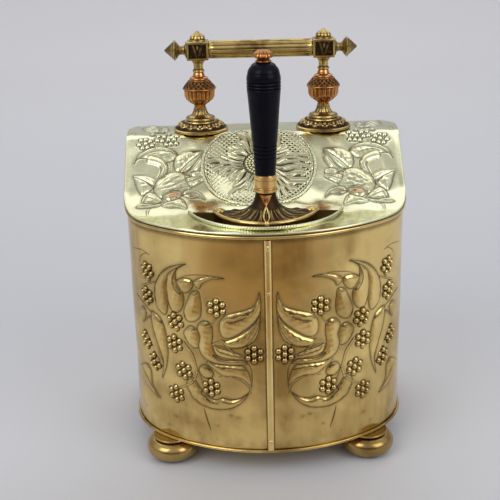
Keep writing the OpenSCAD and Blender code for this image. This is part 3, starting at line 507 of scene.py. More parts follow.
def sweep_rings(path, section):
    """Places a section (m, 2) square to a path (n, 3), its second axis upwards."""
    path = np.asarray(path, float)
    t = np.gradient(path, axis=0)
    t /= np.linalg.norm(t, axis=1)[:, None]
    side = np.cross(t, (0.0, 0.0, 1.0))
    side /= np.linalg.norm(side, axis=1)[:, None]
    up = np.cross(side, t)
    sec = np.broadcast_to(section, (len(path),) + section.shape[-2:])
    return path[:, None] + sec[..., :1] * side[:, None] + sec[..., 1:] * up[:, None]


def turned(name, profile, place, steps=96, quarter=0, carve=None, angle=35.0):
    """Turned piece: a disc drawn out ring by ring along a profile of (radius, height).

    Its axis stands upright, or lies along X after a quarter turn to either side.
    """
    deselect()
    r0, z0 = profile[0]
    bpy.ops.mesh.primitive_circle_add(
        vertices=steps, radius=r0 * MM, fill_type="NGON", location=(0, 0, z0 * MM)
    )
    ob = bpy.context.active_object
    settle()
    open_mesh()
    for r, z in profile[1:]:
        bpy.ops.mesh.extrude_region_move(TRANSFORM_OT_translate={"value": (0, 0, (z - z0) * MM)})
        k = r / r0
        bpy.ops.transform.resize(value=(k, k, 1), center_override=(0, 0, z * MM))
        r0, z0 = r, z
    close_mesh()
    outwards(ob)
    me = ob.data
    ob.name = me.name = name
    if carve:
        x, y, z = points_of(me).T
        a = np.arctan2(y, x)
        r, z, dark = carve(np.hypot(x, y), a, z)
        co = np.stack([r * np.cos(a), r * np.sin(a), z], 1)
        me.vertices.foreach_set("co", (co * MM).ravel())
        give_values(me, "patina", dark)
    shade(me, angle)
    x, y, z = place
    ob.rotation_euler = (0, quarter * math.pi / 2, 0)
    ob.location = (x * MM, (y + SHIFT) * MM, z * MM)
    settle()
    return ob


def ball(name, r, scale, place, segments=24, rings=14):
    """Smooth ball, drawn out or flattened along X, Y and Z."""
    deselect()
    bpy.ops.mesh.primitive_uv_sphere_add(segments=segments, ring_count=rings, radius=r * MM)
    ob = bpy.context.active_object
    x, y, z = place
    ob.name, ob.scale = name, scale
    ob.location = (x * MM, (y + SHIFT) * MM, z * MM)
    settle()
    ob.data.shade_smooth()
    return ob


def fine(profile, step):
    """Adds points to a profile so that no ring is further than step from the next."""
    out = [profile[0]]
    for p, q in zip(profile[:-1], profile[1:]):
        n = max(1, math.ceil(math.hypot(q[0] - p[0], q[1] - p[1]) / step))
        for i in range(1, n + 1):
            out.append((p[0] + (q[0] - p[0]) * i / n, p[1] + (q[1] - p[1]) * i / n))
    return out


def rounded(points, steps=6):
    """Soft profile through a few (radius, height) points."""
    return [(max(r, 0.05), z) for r, z in smooth_line(points, steps=steps)]


def merged(name, objects):
    """Joins objects into one, each keeping its own finish."""
    deselect()
    for ob in objects:
        ob.select_set(True)
    bpy.context.view_layer.objects.active = objects[0]
    bpy.ops.object.join()
    objects[0].name = objects[0].data.name = name
    return objects[0]


def finish_piece(ob, body, material, slot, *nodes):
    """Gives a piece its finish and its body, and hides the CAD nodes that it stands for."""
    ob.data.materials.clear()
    ob.data.materials.append(bpy.data.materials[material])
    if nodes:
        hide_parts(*nodes)
    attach(ob, body)


# ---- Finishes ----


def feed(tree, n, values):
    """Sets the inputs of a node to values, or links other nodes' outputs to them."""
    for key, value in values.items():
        if isinstance(value, bpy.types.NodeSocket):
            tree.links.new(value, n.inputs[key])
        else:
            n.inputs[key].default_value = value


def node(tree, kind, inputs=None, **settings):
    n = tree.nodes.new(kind)
    for key, value in settings.items():
        setattr(n, key, value)
    feed(tree, n, inputs or {})
    return n


def noise(tree, vector, scale, detail, rough, stretched=None):
    if stretched:
        mapping = {"Vector": vector, "Scale": stretched}
        vector = node(tree, "ShaderNodeMapping", mapping).outputs["Vector"]
    inputs = {"Vector": vector, "Scale": scale, "Detail": detail, "Roughness": rough}
    return node(tree, "ShaderNodeTexNoise", inputs).outputs["Fac"]


def remap(tree, value, *ends, **settings):
    """Carries a value from one range, given by its two ends, to another."""
    inputs = dict(enumerate((value, *ends)))
    return node(tree, "ShaderNodeMapRange", inputs, **settings).outputs[0]


def maths(tree, op, *values):
    return node(tree, "ShaderNodeMath", dict(enumerate(values)), operation=op).outputs[0]


def mix(tree, factor, a, b):
    inputs = {0: factor, 6: a, 7: b}
    return node(tree, "ShaderNodeMix", inputs, data_type="RGBA").outputs[2]


def new_material(name):
    """Material with its node tree and its shader."""
    mat = bpy.data.materials.new(name)
    mat.use_nodes = True
    return mat, mat.node_tree, mat.node_tree.nodes["Principled BSDF"]


def metal_group():
    """Aged polished metal: cloudy tone, dark recesses with patina and painted shade, brown stains and fine
    scratches.
    """
    g = bpy.data.node_groups.new("Aged metal", "ShaderNodeTree")
    for in_out, kind, names in (
        ("INPUT", "NodeSocketVector", ("Vector",)),
        ("INPUT", "NodeSocketColor", ("Bright", "Dull", "Dark", "Stain")),
        ("INPUT", "NodeSocketFloat",
         ("Patina", "Warm", "Cloud size", "Least roughness", "Most roughness")),
        ("OUTPUT", "NodeSocketColor", ("Colour",)),
        ("OUTPUT", "NodeSocketFloat", ("Roughness", "Height")),
    ):
        for name in names:
            g.interface.new_socket(name=name, in_out=in_out, socket_type=kind)
    o = g.nodes.new("NodeGroupInput").outputs
    cloud = noise(g, o["Vector"], o["Cloud size"], 4.0, 0.55)
    speck = noise(g, o["Vector"], 420.0, 2.0, 0.5)
    brushed = noise(g, o["Vector"], 160.0, 3.0, 0.6, (1.0, 1.0, 7.0))
    tone = remap(g, cloud, 0.42, 0.6, 0.0, 1.0)
    streak = noise(g, o["Vector"], 30.0, 3.0, 0.6, (1.0, 1.0, 0.12))
    tone = maths(g, "MULTIPLY", tone, remap(g, streak, 0.35, 0.65, 0.35, 1.0))
    col = mix(g, tone, o["Bright"], o["Dull"])
    col = mix(g, o["Warm"], col, o["Stain"])
    # patina with painted shade, from the mesh's values, darkens the colour here
    dirt_and_shade = maths(g, "MULTIPLY", o["Patina"], remap(g, speck, 0.3, 0.6, 0.92, 1.0))
    col = mix(g, dirt_and_shade, col, o["Dark"])
    rough = remap(g, brushed, 0.3, 0.7, o["Least roughness"], o["Most roughness"])
    rough = maths(g, "ADD", rough, maths(g, "MULTIPLY", dirt_and_shade, 0.3))
    height = maths(g, "ADD", maths(g, "MULTIPLY", brushed, 0.25), maths(g, "MULTIPLY", cloud, 0.75))
    node(g, "NodeGroupOutput", {"Colour": col, "Roughness": rough, "Height": height})
    return g


def metal(name, group, bright, dull, dark, stain, cloud, rough, bump=0.02, patina=None):
    """A metal finish from the shared group."""
    _, t, shader = new_material(name)
    # the mesh's patina values also carry painted shade
    aged_and_shaded, brown = (
        node(t, "ShaderNodeAttribute", attribute_name=key).outputs["Fac"] for key in ("patina", "warm")
    )
    if patina is not None:
        aged_and_shaded = maths(t, "ADD", aged_and_shaded, patina)
    g = node(t, "ShaderNodeGroup", {
        "Vector": node(t, "ShaderNodeTexCoord").outputs["Object"],
        "Bright": (*bright, 1.0), "Dull": (*dull, 1.0), "Dark": (*dark, 1.0), "Stain": (*stain, 1.0),
        "Patina": aged_and_shaded, "Warm": brown, "Cloud size": cloud,
        "Least roughness": rough[0], "Most roughness": rough[1],
    }, node_tree=group)
    scratches = node(t, "ShaderNodeBump", {
        "Strength": 1.0, "Distance": bump * MM, "Height": g.outputs["Height"],
    })
    feed(t, shader, {
        "Metallic": 1.0, "Base Color": g.outputs["Colour"], "Roughness": g.outputs["Roughness"],
        "Normal": scratches.outputs["Normal"],
    })


def wood(name, colour, grain_colour):
    """Turned wood, stained black and polished."""
    _, t, shader = new_material(name)
    co = node(t, "ShaderNodeTexCoord").outputs["Object"]
    grain = noise(t, co, 60.0, 4.0, 0.6, (6.0, 6.0, 0.6))
    pores = noise(t, co, 300.0, 2.0, 0.5, (3.0, 3.0, 0.5))
    col = mix(t, remap(t, grain, 0.35, 0.7, 0.0, 1.0), (*colour, 1.0), (*grain_colour, 1.0))
    bump = node(t, "ShaderNodeBump", {"Distance": 0.01 * MM, "Height": pores})
    feed(t, shader, {
        "Base Color": col, "Roughness": remap(t, pores, 0.3, 0.7, 0.16, 0.3),
        "Normal": bump.outputs["Normal"], "Specular IOR Level": 0.1,
    })


# ---- The scene's settings ----


def colour_prop(name, text, value):
    return bpy.props.FloatVectorProperty(
        name=name, description=text, default=value, size=3, min=0.0, max=1.0, subtype="COLOR"
    )


def size_prop(name, text, value, low, high):
    return bpy.props.FloatProperty(
        name=name, description=text + ", in mm", default=value, min=low, max=high, unit="NONE"
    )


class ScuttleFinishes(bpy.types.PropertyGroup):
    """Colours of the metals and the wood."""

    brass: colour_prop("Brass", "Warm polished brass of the case", (0.92, 0.68, 0.26))
    brass_dull: colour_prop("Dull brass", "Duller clouds in the case's brass", (0.46, 0.3, 0.1))
    lid_brass: colour_prop("Lid brass", "Pale greenish brass of the lid", (0.91, 0.92, 0.62))
    lid_dull: colour_prop("Dull lid brass", "Duller clouds in the lid's brass", (0.74, 0.7, 0.43))
    bronze: colour_prop("Antique brass", "Brown-toned brass of the castings", (0.78, 0.57, 0.21))
    bronze_dull: colour_prop("Dull antique brass", "Its duller clouds", (0.32, 0.2, 0.065))
    copper: colour_prop("Copper", "Copper tone of the urns and the knob", (0.82, 0.38, 0.13))
    copper_dull: colour_prop("Dull copper", "Duller clouds in the copper", (0.44, 0.17, 0.05))
    # this colour also paints shade beside the relief, under the lid and in the mouldings' grooves
    recess: colour_prop("Recesses", "Dark patina in lines and recesses", (0.045, 0.026, 0.012))
    stain: colour_prop("Stains", "Brown stains on the lid", (0.5, 0.24, 0.1))
    ebony: colour_prop("Black wood", "Stained wood of the grip", (0.003, 0.004, 0.01))


class ScuttleRelief(bpy.types.PropertyGroup):
    """Heights of the embossing, in millimetres."""

    berry: size_prop("Berries", "Height of the berries on the case", 2.5, 0.5, 2.8)
    leaf: size_prop("Leaves", "Height of the leaves on the case", 2.7, 0.5, 2.8)
    lid_berry: size_prop("Lid berries", "Height of the berries on the lid", 2.4, 0.5, 2.6)
    lid_leaf: size_prop("Lid leaves", "Height of the leaves on the lid", 3.0, 0.5, 3.5)
    ripple: size_prop("Ripple", "Unevenness of the beaten sheets", 0.4, 0.0, 0.6)
    petals: bpy.props.IntProperty(
        name="Petals", description="Petals of the medallion's flower", default=30, min=12, max=48
    )


# ---- Pieces ----


class SCUTTLE_OT_finishes(bpy.types.Operator):
    """Makes the finishes and gives them to the plain nodes of the frame"""

    bl_idname = "scuttle.finishes"
    bl_label = "Finishes"

    def execute(self, context):
        c = context.scene.scuttle_finishes
        group, recess, stain, rust = metal_group(), tuple(c.recess), tuple(c.stain), (0.1, 0.05, 0.03)
        for name, bright, dull, brown, cloud, rough, more in (
            ("case brass", c.brass, c.brass_dull, stain, 13.0, (0.07, 0.16), {}),
            ("lid brass", c.lid_brass, c.lid_dull, stain, 11.0, (0.11, 0.22), {}),
            ("antique brass", c.bronze, c.bronze_dull, stain, 55.0, (0.1, 0.22), {"patina": 0.08}),
            ("urn copper", c.copper, c.copper_dull, stain, 60.0, (0.1, 0.22), {"patina": 0.08}),
            ("foot brass", (0.5, 0.34, 0.12), (0.3, 0.19, 0.06), stain, 22.0, (0.16, 0.3), {}),
            ("strip brass", (1.0, 0.8, 0.36), (0.88, 0.64, 0.24), stain, 20.0, (0.14, 0.24), {}),
            ("gilt", (0.92, 0.62, 0.25), (0.72, 0.45, 0.16), stain, 40.0, (0.16, 0.26), {}),
            ("inner brass", c.brass_dull, c.bronze_dull, stain, 14.0, (0.4, 0.6), {"bump": 0.03}),
            ("pocket brass", (0.86, 0.72, 0.36), (0.6, 0.45, 0.18), stain, 14.0, (0.4, 0.6), {"bump": 0.03}),
            ("liner iron", (0.06, 0.058, 0.055), (0.035, 0.033, 0.03), rust, 20.0, (0.5, 0.7),
             {"bump": 0.05}),
            ("plain steel", (0.42, 0.41, 0.4), (0.28, 0.27, 0.26), stain, 40.0, (0.3, 0.5), {}),
        ):
            metal(name, group, bright, dull, recess, brown, cloud, rough, **more)
        wood("black wood", tuple(c.ebony), (0.007, 0.006, 0.008))
        plain = {
            "inner brass": ("seam_backing_strip",),
            "pocket brass": ("pocket_trough", "pocket_back_sheet"),
            "case brass": (
                "base_plate", "back_panel", "back_rivets", "hinge_case_leaf", "hinge_lid_leaf",
                "hinge_rivets", "scoop_blade",
            ),
            "liner iron": ("liner",),
            "plain steel": (
                "foot_studs", "foot_nuts", "hinge_pin", "post_rods", "post_nuts", "shovel_tang",
            ),
        }
        for material, names in plain.items():
            for name in names:
                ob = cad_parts[name]
                ob.data.materials.clear()
                ob.data.materials.append(bpy.data.materials[material])
        return {"FINISHED"}


# Left half of the lid's berries, as places in the photograph
LID_BERRIES = (
    (141, 140.3), (139, 145), (145.9, 139.6), (145.7, 143.7), (147.4, 147.4), (142.4, 148.3),
    (150.3, 141.4), (152, 145.4), (152.6, 135.4), (157.4, 132.6), (162.9, 132.6), (158.6, 136.4),
    (164, 136.8), (169.3, 135), (162.1, 141), (168.3, 140), (166, 144.6), (171, 144),
    (174, 139.6), (176.6, 136.4), (176, 143.6), (157, 140.6),
)


class SCUTTLE_OT_lid(bpy.types.Operator):
    """Embosses the S-shaped lid sheet with its foliage"""

    bl_idname = "scuttle.lid"
    bl_label = "Lid"

    def foliage(self, r, side, p):
        def at(places):
            return on_lid(places) * (-side, 1)

        r.at, hi = at, p.lid_leaf
        r.leaf([(143, 129), (149, 125.5), (157, 126.5), (159.5, 130), (153, 132), (146, 131.5)], 0.5,
               3.0, outline=0.5)
        r.leaf([(161, 129), (165, 126.8), (169, 129), (166, 131.5)], 0.4, 2.5, outline=0.45)
        r.line([(131, 135.5), (133, 132.6), (136, 133.6), (135, 136), (132.6, 135.4)], 0.5, 0.3, 0.8)
        # long curved leaf with a folded edge
        r.leaf([(134.3, 165), (137.5, 157), (142, 152.5), (149, 148.6), (157, 147), (166, 147.4),
               (173, 150), (179, 155.6), (175, 159), (168, 162.5), (159, 162), (150, 159.5),
               (141.5, 158.5), (136.5, 160.5)], hi, 7.0,
               rib=[(136, 161), (142, 157), (152, 153), (163, 151.6), (173, 153.2), (178.5, 155.6)])
        r.line([(146, 156.5), (156, 155.5), (166, 157.5), (172, 160)], 0.5, 0.35, 0.7)
        # thick curved stem
        r.stem([(151, 160.5), (158, 162.5), (163.5, 166), (164.5, 171), (161, 178), (157, 184),
               (155, 190)], 5.5, 2.0, hi)
        # veined oval leaf and the one beside it
        r.leaf([(186, 174), (193, 166), (198.5, 158), (203, 153.5), (203.6, 161), (199.5, 168.5),
               (192, 174.5)], hi * 0.9, 5.0, rib=[(188, 173), (196, 165), (202.5, 156)])
        r.leaf([(173.2, 165), (174.6, 159), (180, 154.2), (188.6, 151.4), (197.5, 151), (203.3, 151.8),
               (199.5, 157.5), (194, 164.5), (187, 171), (181, 172.6), (175.5, 170.5)], hi, 8.0,
               rib=[(180, 171.5), (190, 162), (202, 152.5)], veins=5)
        # folded petal with a hatched heart
        r.leaf([(133.2, 177), (139, 175.8), (147.5, 176.2), (155.5, 179), (157.6, 182.4), (153.8, 188),
               (146.5, 194), (141.5, 195.8), (137.2, 190), (135, 183)], hi, 5.5,
               rib=[(134.5, 178), (142, 180.5), (149, 184), (153, 187)])
        for i in range(5):
            r.line([(146 + 1.7 * i, 182 + 0.7 * i), (149 + 1.7 * i, 188 + 0.3 * i)], 0.6, 0.5, 1.0)
        # lower petals
        r.leaf([(141.6, 205), (142.2, 198.8), (147.2, 193), (153, 192.8), (161.5, 199.2),
               (164.4, 202.6), (156, 204.8), (147, 206)], hi * 0.9, 5.5,
               rib=[(142, 204), (148, 198), (158, 202)])
        r.leaf([(135.7, 207.4), (141, 204), (147, 204.5), (156, 204.4), (164.4, 202.2), (158.8, 207.2),
               (149, 208.8), (140.5, 209)], hi * 0.8, 4.0,
               rib=[(137, 207.2), (148, 206.8), (162, 203.6)])
        r.leaf([(161.5, 206), (166, 202.6), (172, 200.6), (181, 198.4), (185.8, 203.5), (186.6, 209.2),
               (178, 208.4), (168.6, 208.6)], hi * 0.7, 5.0, rib=[(163, 206), (173, 205), (185, 208)])
        r.line([(148.6, 208.6), (146.2, 211.5), (146.6, 215.4)], 0.6, 0.35)
        r.line([(151.4, 208.6), (148.4, 211.8), (148.8, 214.6)], 0.6, 0.35)
        # blossom: a fluted trumpet and its petals
        heart = [(153.8, 190), (155.6, 184), (162, 177.6), (171, 172.4), (181, 172.6), (190, 176.4),
               (194, 183), (189, 190), (181.5, 195.8), (171.4, 199.6), (163, 199.2), (157, 196)]
        r.leaf(heart, hi * 1.1, 9.0)
        for q in ([(157, 190), (166, 181), (178, 175)], [(157, 191), (169, 184.5), (184, 178)],
               [(158, 192), (172, 188), (189, 182)], [(159, 193), (174, 191), (190, 187)],
               [(165, 186), (174, 181), (183, 177)], [(168, 190), (178, 185), (188, 181)]):
            r.line(q, 0.7, 0.55, 0.6)
        r.leaf([(186, 180), (194, 176), (202, 175.5), (204, 180), (198, 184), (190, 187)], hi * 0.8,
               4.0, rib=[(188, 183), (202, 178)])
        r.leaf([(190, 174.5), (197, 171.2), (203, 172), (203, 176), (195, 178)], hi * 0.7, 3.0)
        r.leaf([(183, 193.6), (189, 190), (196, 190.6), (201.6, 194), (205.4, 200.4), (198.6, 197.6),
               (189, 198.6)], hi * 0.9, 4.0, rib=[(185, 194.6), (195, 193.6), (204, 199)])
        r.leaf([(162.8, 198), (167, 193.8), (174, 192), (181, 192.4), (181.5, 196), (176, 200),
               (168.6, 201.6)], hi, 4.5, warm=0.85)
        r.leaf([(182, 196.2), (189, 194.6), (194.5, 195.4), (190, 197.6)], hi * 0.7, 2.5, warm=0.8)
        # stems and berries
        r.stem([(155, 150), (156.2, 143.5), (154.5, 138)], 0.8, 0.6, 0.7)
        r.stem([(155.6, 148), (158.6, 143), (160.6, 138.6)], 0.8, 0.6, 0.7)
        places = at(LID_BERRIES)
        # painted shade in the ground round each berry
        for x, a in places:
            r.spot(x, a, 4.0, 0.4)
        for x, a in places:
            r.berry(x, a, 2.75, p.lid_berry)

    def execute(self, context):
        p = context.scene.scuttle_relief
        out = 2.4
        front_y = -FRONT - out
        # rows of the shelf: even ones, and the ones where the curved edges need them
        x = np.arange(0.0, 64.0, 2.2)
        arc = WIDE_Y - np.sqrt((WIDE_R + out) ** 2 - x**2)
        slot = SLOT_C - np.sqrt(SLOT_R**2 - x**2)
        edges = [front_y + 0.02, SLOT_FRONT, SLOT_BACK]
        ys = np.concatenate([edges, arc[1:], slot[1:], np.arange(-105.0, SLOT_BACK, 1.15)])
        ys = np.unique(np.round(ys, 2))
        ys = ys[(ys <= SLOT_BACK) & (ys > front_y)]
        rows = [ys[0]]
        for y in ys[1:]:
            if y - rows[-1] > 0.12:
                rows.append(y)
        rows[-1] = SLOT_BACK
        a_front = a_of_y(np.array(rows))
        a_back = np.linspace(a_front[-1], a_of_y(LID_BACK), 200)

        # columns: as many beside the slot as half of those behind it
        columns = 78
        beside = np.linspace(0, 1, columns + 1)
        y = lid_at(a_front)[0]
        w = half_width(y, out)
        inner = np.where(y <= SLOT_FRONT, 0.0, np.sqrt(np.clip(SLOT_R**2 - (y - SLOT_C) ** 2, 0, None)))
        inner[-1] = SLOT_HALF_W
        left = -w[:, None] + (w - inner)[:, None] * beside
        w = half_width(SLOT_BACK, out)
        across = np.concatenate([
            -w + (w - SLOT_HALF_W) * beside,
            np.linspace(-SLOT_HALF_W, SLOT_HALF_W, 2 * columns + 1)[1:-1],
            w - (w - SLOT_HALF_W) * beside[::-1],
        ]) / w
        back = half_width(lid_at(a_back)[0], out)[:, None] * across

        points, faces, dark, warm = [], [], [], []

        def patch(x, a):
            """One part of the sheet: its embossed face and its plain underside."""
            start = sum(len(q) for q in points)
            r = Relief(x, np.broadcast_to(a[:, None], x.shape))
            r.ripple(p.ripple)
            for side in (-1, 1):
                self.foliage(r, side, p)
            r.soften(1)
            y, z, ny, nz = (q[:, None] for q in lid_at(a))
            # the embossing dies out towards the outer edge
            edge = np.minimum(half_width(y, out) - np.abs(x), y - front_y)
            h = r.h.reshape(x.shape) * held(edge / 6.0)
            under = [np.hstack([x[:, i], y - LID_T * ny, z - LID_T * nz]) for i in ([0], [-1])]
            points.extend([np.stack([x, y + h * ny, z + h * nz], -1).reshape(-1, 3), *under])
            n, m = x.shape
            dark.extend([r.dark, np.full(2 * n, 0.5)])
            warm.extend([r.warm, np.zeros(2 * n)])
            faces.extend(grid_faces(n, m, start))
            number = start + np.arange(n * m + 2 * n)
            low, high = number[n * m:].reshape(2, n)
            faces.extend(closing_faces(number[:n * m].reshape(n, m), low, high))

        patch(left, a_front)
        patch(-left[:, ::-1], a_front)
        patch(back, a_back)
        values = {"patina": np.concatenate(dark), "warm": np.concatenate(warm)}
        ob = sheet_mesh("lid_embossed_sheet", np.concatenate(points), faces, values, 55.0)
        finish_piece(ob, "lid", "lid brass", "lid_brass", "lid_sheet")
        return {"FINISHED"}


class SCUTTLE_OT_medallion(bpy.types.Operator):
    """Embosses the round flower medallion on the lid"""

    bl_idname = "scuttle.medallion"
    bl_label = "Medallion"

    def flower(self, r, f, n):
        """Heights and patina at distances r and angles f round the medallion's middle."""
        # the netted ground shows most in four places round the border
        net = np.zeros_like(r)
        for degrees, spread in ((142, 0.42), (213, 0.3), (263, 0.42), (38, 0.34)):
            turn = (f - math.radians(degrees) + math.pi) % (2 * math.pi) - math.pi
            net = np.maximum(net, np.exp(-((turn / spread) ** 4)))
        # netted ground: raised crossing lines with dark holes
        u, v = r * np.cos(f), r * np.sin(f)
        one, two = (np.cos(math.pi * d / math.sqrt(2) / 4.2) ** 2 for d in (u + v, u - v))
        web = np.maximum(one, two)
        h = 0.1 + 1.2 * held((web - 0.4) / 0.4)
        dark = held((0.84 - web) / 0.25)
        # rings of long wavy petals
        for count, shift, end, sway, high in (
            (n, 0.0, 58.0 - 17.0 * net, 0.07, 1.9), (n, 0.5, 47.0 - 9.0 * net, 0.09, 2.3),
            (int(n * 0.8), 0.2, 33.0, 0.10, 2.7),
        ):
            phase = (f + sway * np.sin(r / 8.5 + 5 * f + shift)) * count / (2 * math.pi) + shift
            w = np.abs(phase % 1.0 - 0.5)
            stop = end + 3.0 * np.sin(2.4 * np.floor(phase)) - 9.0 * (2 * w) ** 2
            on = held((stop - r) / 1.6)
            strand = np.abs(np.cos(3 * math.pi * w)) ** 0.7
            bulge = dome(2 * w) * (0.62 + 0.38 * strand)
            gap = np.maximum(held((w - 0.27) / 0.12), 0.75 * (1 - strand))
            h = h * (1 - on) + on * (0.35 + high * bulge)
            dark = dark * (1 - on) + on * gap * 0.95
        boss = r < BOSS_R + 0.6
        h = np.where(boss, BOSS_UP + 1.3 * dome(r / BOSS_R), h)
        dark = np.where(boss, 0.9, dark)
        # border bead and the line inside it
        for radius, w, high in ((MED_R, 1.5, 1.4), (59.4, 0.55, 0.7)):
            d = np.abs(r - radius)
            h = np.where(d < w, np.maximum(h, high * dome(d / w)), h)
            dark = np.maximum(np.where(d < w, 0.0, dark), 0.9 * bell(d - w - 0.2, 0.3))
        return np.where(r > MED_R + 1.5, -0.25, h), dark

    def on_slope(self, u, v, h):
        """Points at places (u, v) of the medallion, raised by h from the lid."""
        y = MED_Y + v * math.cos(MED_LEAN)
        _, z, ny, nz = lid_at(a_of_y(y))
        return np.stack([MED_X + u, y + h * ny, z + h * nz], -1)

    def execute(self, context):
        r, f = np.meshgrid(np.linspace(0.4, MED_R + 2.0, 104), circle(540), indexing="ij")
        u, v = r * np.cos(f), r * np.sin(f)
        h, dark = self.flower(r, f, context.scene.scuttle_relief.petals)
        rings = np.concatenate([self.on_slope(u, v, h), self.on_slope(u[-1:], v[-1:], -0.6)])
        dark = np.concatenate([dark, np.zeros_like(dark[:1])]).ravel()
        shell = tube_mesh("lid_medallion", rings, 60.0, dark, flip=True)
        # beads of the boss, one bead copied
        bead = ball("bead", 1.55, (1, 1, 1), (0, -SHIFT, 0), 10, 7)
        co, quads = points_of(bead.data), [list(q.vertices) for q in bead.data.polygons]
        bpy.data.objects.remove(bead)
        points, faces = [], []
        for radius, count in ((0.0, 1), (3.6, 6), (7.0, 13), (10.4, 19), (13.8, 26)):
            up = BOSS_UP + 1.3 * math.sqrt(1 - (radius / BOSS_R) ** 2)
            t = circle(count) + radius
            for middle in self.on_slope(radius * np.cos(t), radius * np.sin(t), up):
                faces += [[q + len(points) * len(co) for q in quad] for quad in quads]
                points.append(co + middle)
        beads = sheet_mesh("medallion_beads", np.concatenate(points), faces, None, 80.0)
        ob = merged("lid_medallion", [shell, beads])
        finish_piece(ob, "lid", "lid brass", "lid_brass")
        return {"FINISHED"}


class SCUTTLE_OT_panels(bpy.types.Operator):
    """Embosses the two side panels of the case with leaves and berries"""

    bl_idname = "scuttle.panels"
    bl_label = "Side panels"

    def spots(self, r, *spots):
        """Dark spots of (place in the photograph, size, strength)."""
        for px, py, size, strength in spots:
            s, z = on_case([(px, py)])[0]
            r.spot(s, z, size, strength)

    def foliage(self, r, p):
        r.at, hi, be = on_case, p.leaf, p.berry
        # painted shade darkens the ground between the leaves
        self.spots(
            r, (178, 300, 20.0, 0.3), (205, 300, 15.0, 0.26), (190, 345, 24.0, 0.32), (225, 350, 22.0, 0.26),
            (200, 385, 22.0, 0.28), (160, 340, 16.0, 0.24), (232, 385, 15.0, 0.18), (226, 262, 18.0, 0.2),
            (250, 275, 14.0, 0.22), (215, 255, 14.0, 0.16),
        )
        # long pair of lobes
        r.leaf([(185.3, 264.2), (174.8, 265.5), (164.8, 269.4), (157.7, 277.4), (154.5, 290),
               (156.1, 303.7), (159.9, 311), (165.4, 314.5), (167.7, 306.1), (166.7, 291.6),
               (166.1, 280.3), (170.3, 271.6), (178, 267.1)], hi, 8.0)
        r.leaf([(184.8, 264.5), (176.4, 269.8), (175.7, 278.7), (179.3, 287.6), (183.5, 295.6),
               (183.2, 305.3), (179, 311.6), (173.2, 311.9), (169, 305.3), (166.7, 293.2),
               (166.4, 280.3), (170.3, 271.3)], hi, 8.0)
        r.line([(186, 263.8), (176, 269.2), (173, 280.6), (177.2, 290.8), (183.2, 296.6)], 0.55)
        # second pair, its tip to the right
        r.leaf([(224, 278.7), (211.9, 276.8), (199, 278.1), (193.3, 282.3), (199, 288.4),
               (202.5, 283.2), (211.1, 279.7)], hi * 0.8, 4.0)
        r.leaf([(176.4, 280.3), (183.6, 278.1), (191.7, 280.3), (192.8, 286), (189, 291.3),
               (183.6, 292.6), (179.3, 288.4)], hi * 0.9, 6.0)
        r.leaf([(191.2, 291.9), (198.3, 291.3), (200.6, 299.7), (201.5, 309.4), (199.9, 317.4),
               (193.2, 321.6), (186.4, 320), (183.6, 312.6), (185.4, 304.5), (188.3, 298.1)], hi, 8.0)
        r.line([(176.2, 281), (184, 276.2), (197, 274.8), (211.4, 276.2), (224.6, 279.6)], 0.5)
        # broad pair near the middle
        r.leaf([(219.6, 331.1), (219.9, 321.9), (225.4, 315.8), (235.1, 312.9), (245.1, 310.3),
               (253.2, 306.5), (257.4, 299.4), (259.3, 292.9), (260.9, 304.5), (259.3, 314.5),
               (252.5, 324.2), (242.8, 331.6), (231.9, 337.7), (223.5, 337.7)], hi, 9.0)
        r.line([(226, 322), (236, 321), (246, 317)], 1.2, 0.9, 0.9)
        r.leaf([(223.5, 341.9), (233.2, 338.7), (244.5, 332.6), (253.8, 324.5), (259.6, 316.5),
               (259, 330.3), (254.1, 341.3), (244.8, 347.1), (233.5, 348.7), (225.7, 346.5)], hi, 8.0)
        r.line([(258, 296.4), (260.8, 308), (259.6, 322), (253.6, 336.6), (242, 347.4), (230.6, 349.4)],
               0.5)
        # twisted leaf and the lobes round it
        r.leaf([(183.8, 333.5), (186.4, 327.7), (191.5, 325.5), (197.4, 329.7), (199.9, 338.1),
               (199.3, 346.5), (194.5, 347.7), (188, 342.3)], hi * 0.9, 7.0)
        r.leaf([(197.4, 327.9), (200.6, 321.9), (205.7, 320.6), (211.2, 324.2), (212.8, 333.5),
               (212.2, 343.2), (214.1, 351.6), (219.9, 358.7), (229.6, 360.6), (239.6, 360),
               (247.7, 364.2), (237.7, 365.2), (224.8, 364.5), (212.5, 362.3), (202.8, 355.8),
               (199, 346.5), (199.9, 336.8)], hi, 8.5)
        r.leaf([(213.5, 345.2), (220.3, 348.4), (229, 351), (238.3, 353.9), (244.5, 359),
               (233.5, 359.7), (221.9, 357.7), (215.4, 353.5)], hi * 0.9, 5.0)
        r.line([(218, 345), (228, 349), (238, 355)], 1.1, 0.8, 0.9)
        r.leaf([(199.3, 369.7), (202.8, 364.5), (208.6, 365.8), (213.2, 372.6), (211.2, 378.1),
               (203.8, 377.1)], hi * 0.8, 5.0)
        # soft lower leaf with its long outline
        r.leaf([(206.4, 361.3), (217.7, 363.9), (231.2, 365.2), (242.8, 366.5), (249.3, 375.2),
               (251.2, 386.1), (244.1, 380.6), (234.5, 377.1), (223.2, 375.8), (213.5, 369)], hi * 0.9,
               8.0, outline=0.4)
        r.line([(243.6, 358), (250.6, 368), (252, 380), (250.6, 396.4)], 0.55)
        r.leaf([(187, 382.9), (190.6, 393.2), (197.4, 401.6), (207, 407.1), (218.3, 409.4),
               (231.2, 408.7), (241.5, 402.9), (248.6, 393.5), (240.9, 398.4), (231.5, 400.6),
               (222.8, 398.1), (214.5, 399.7), (205.1, 393.2), (198, 383.2), (192.8, 377.1)], hi * 0.9,
               8.0)
        r.line([(216.4, 376.6), (230.6, 377.2), (242, 382), (249.6, 389.4), (245, 396.4), (235, 399.6),
               (224.6, 395.8)], 0.5)
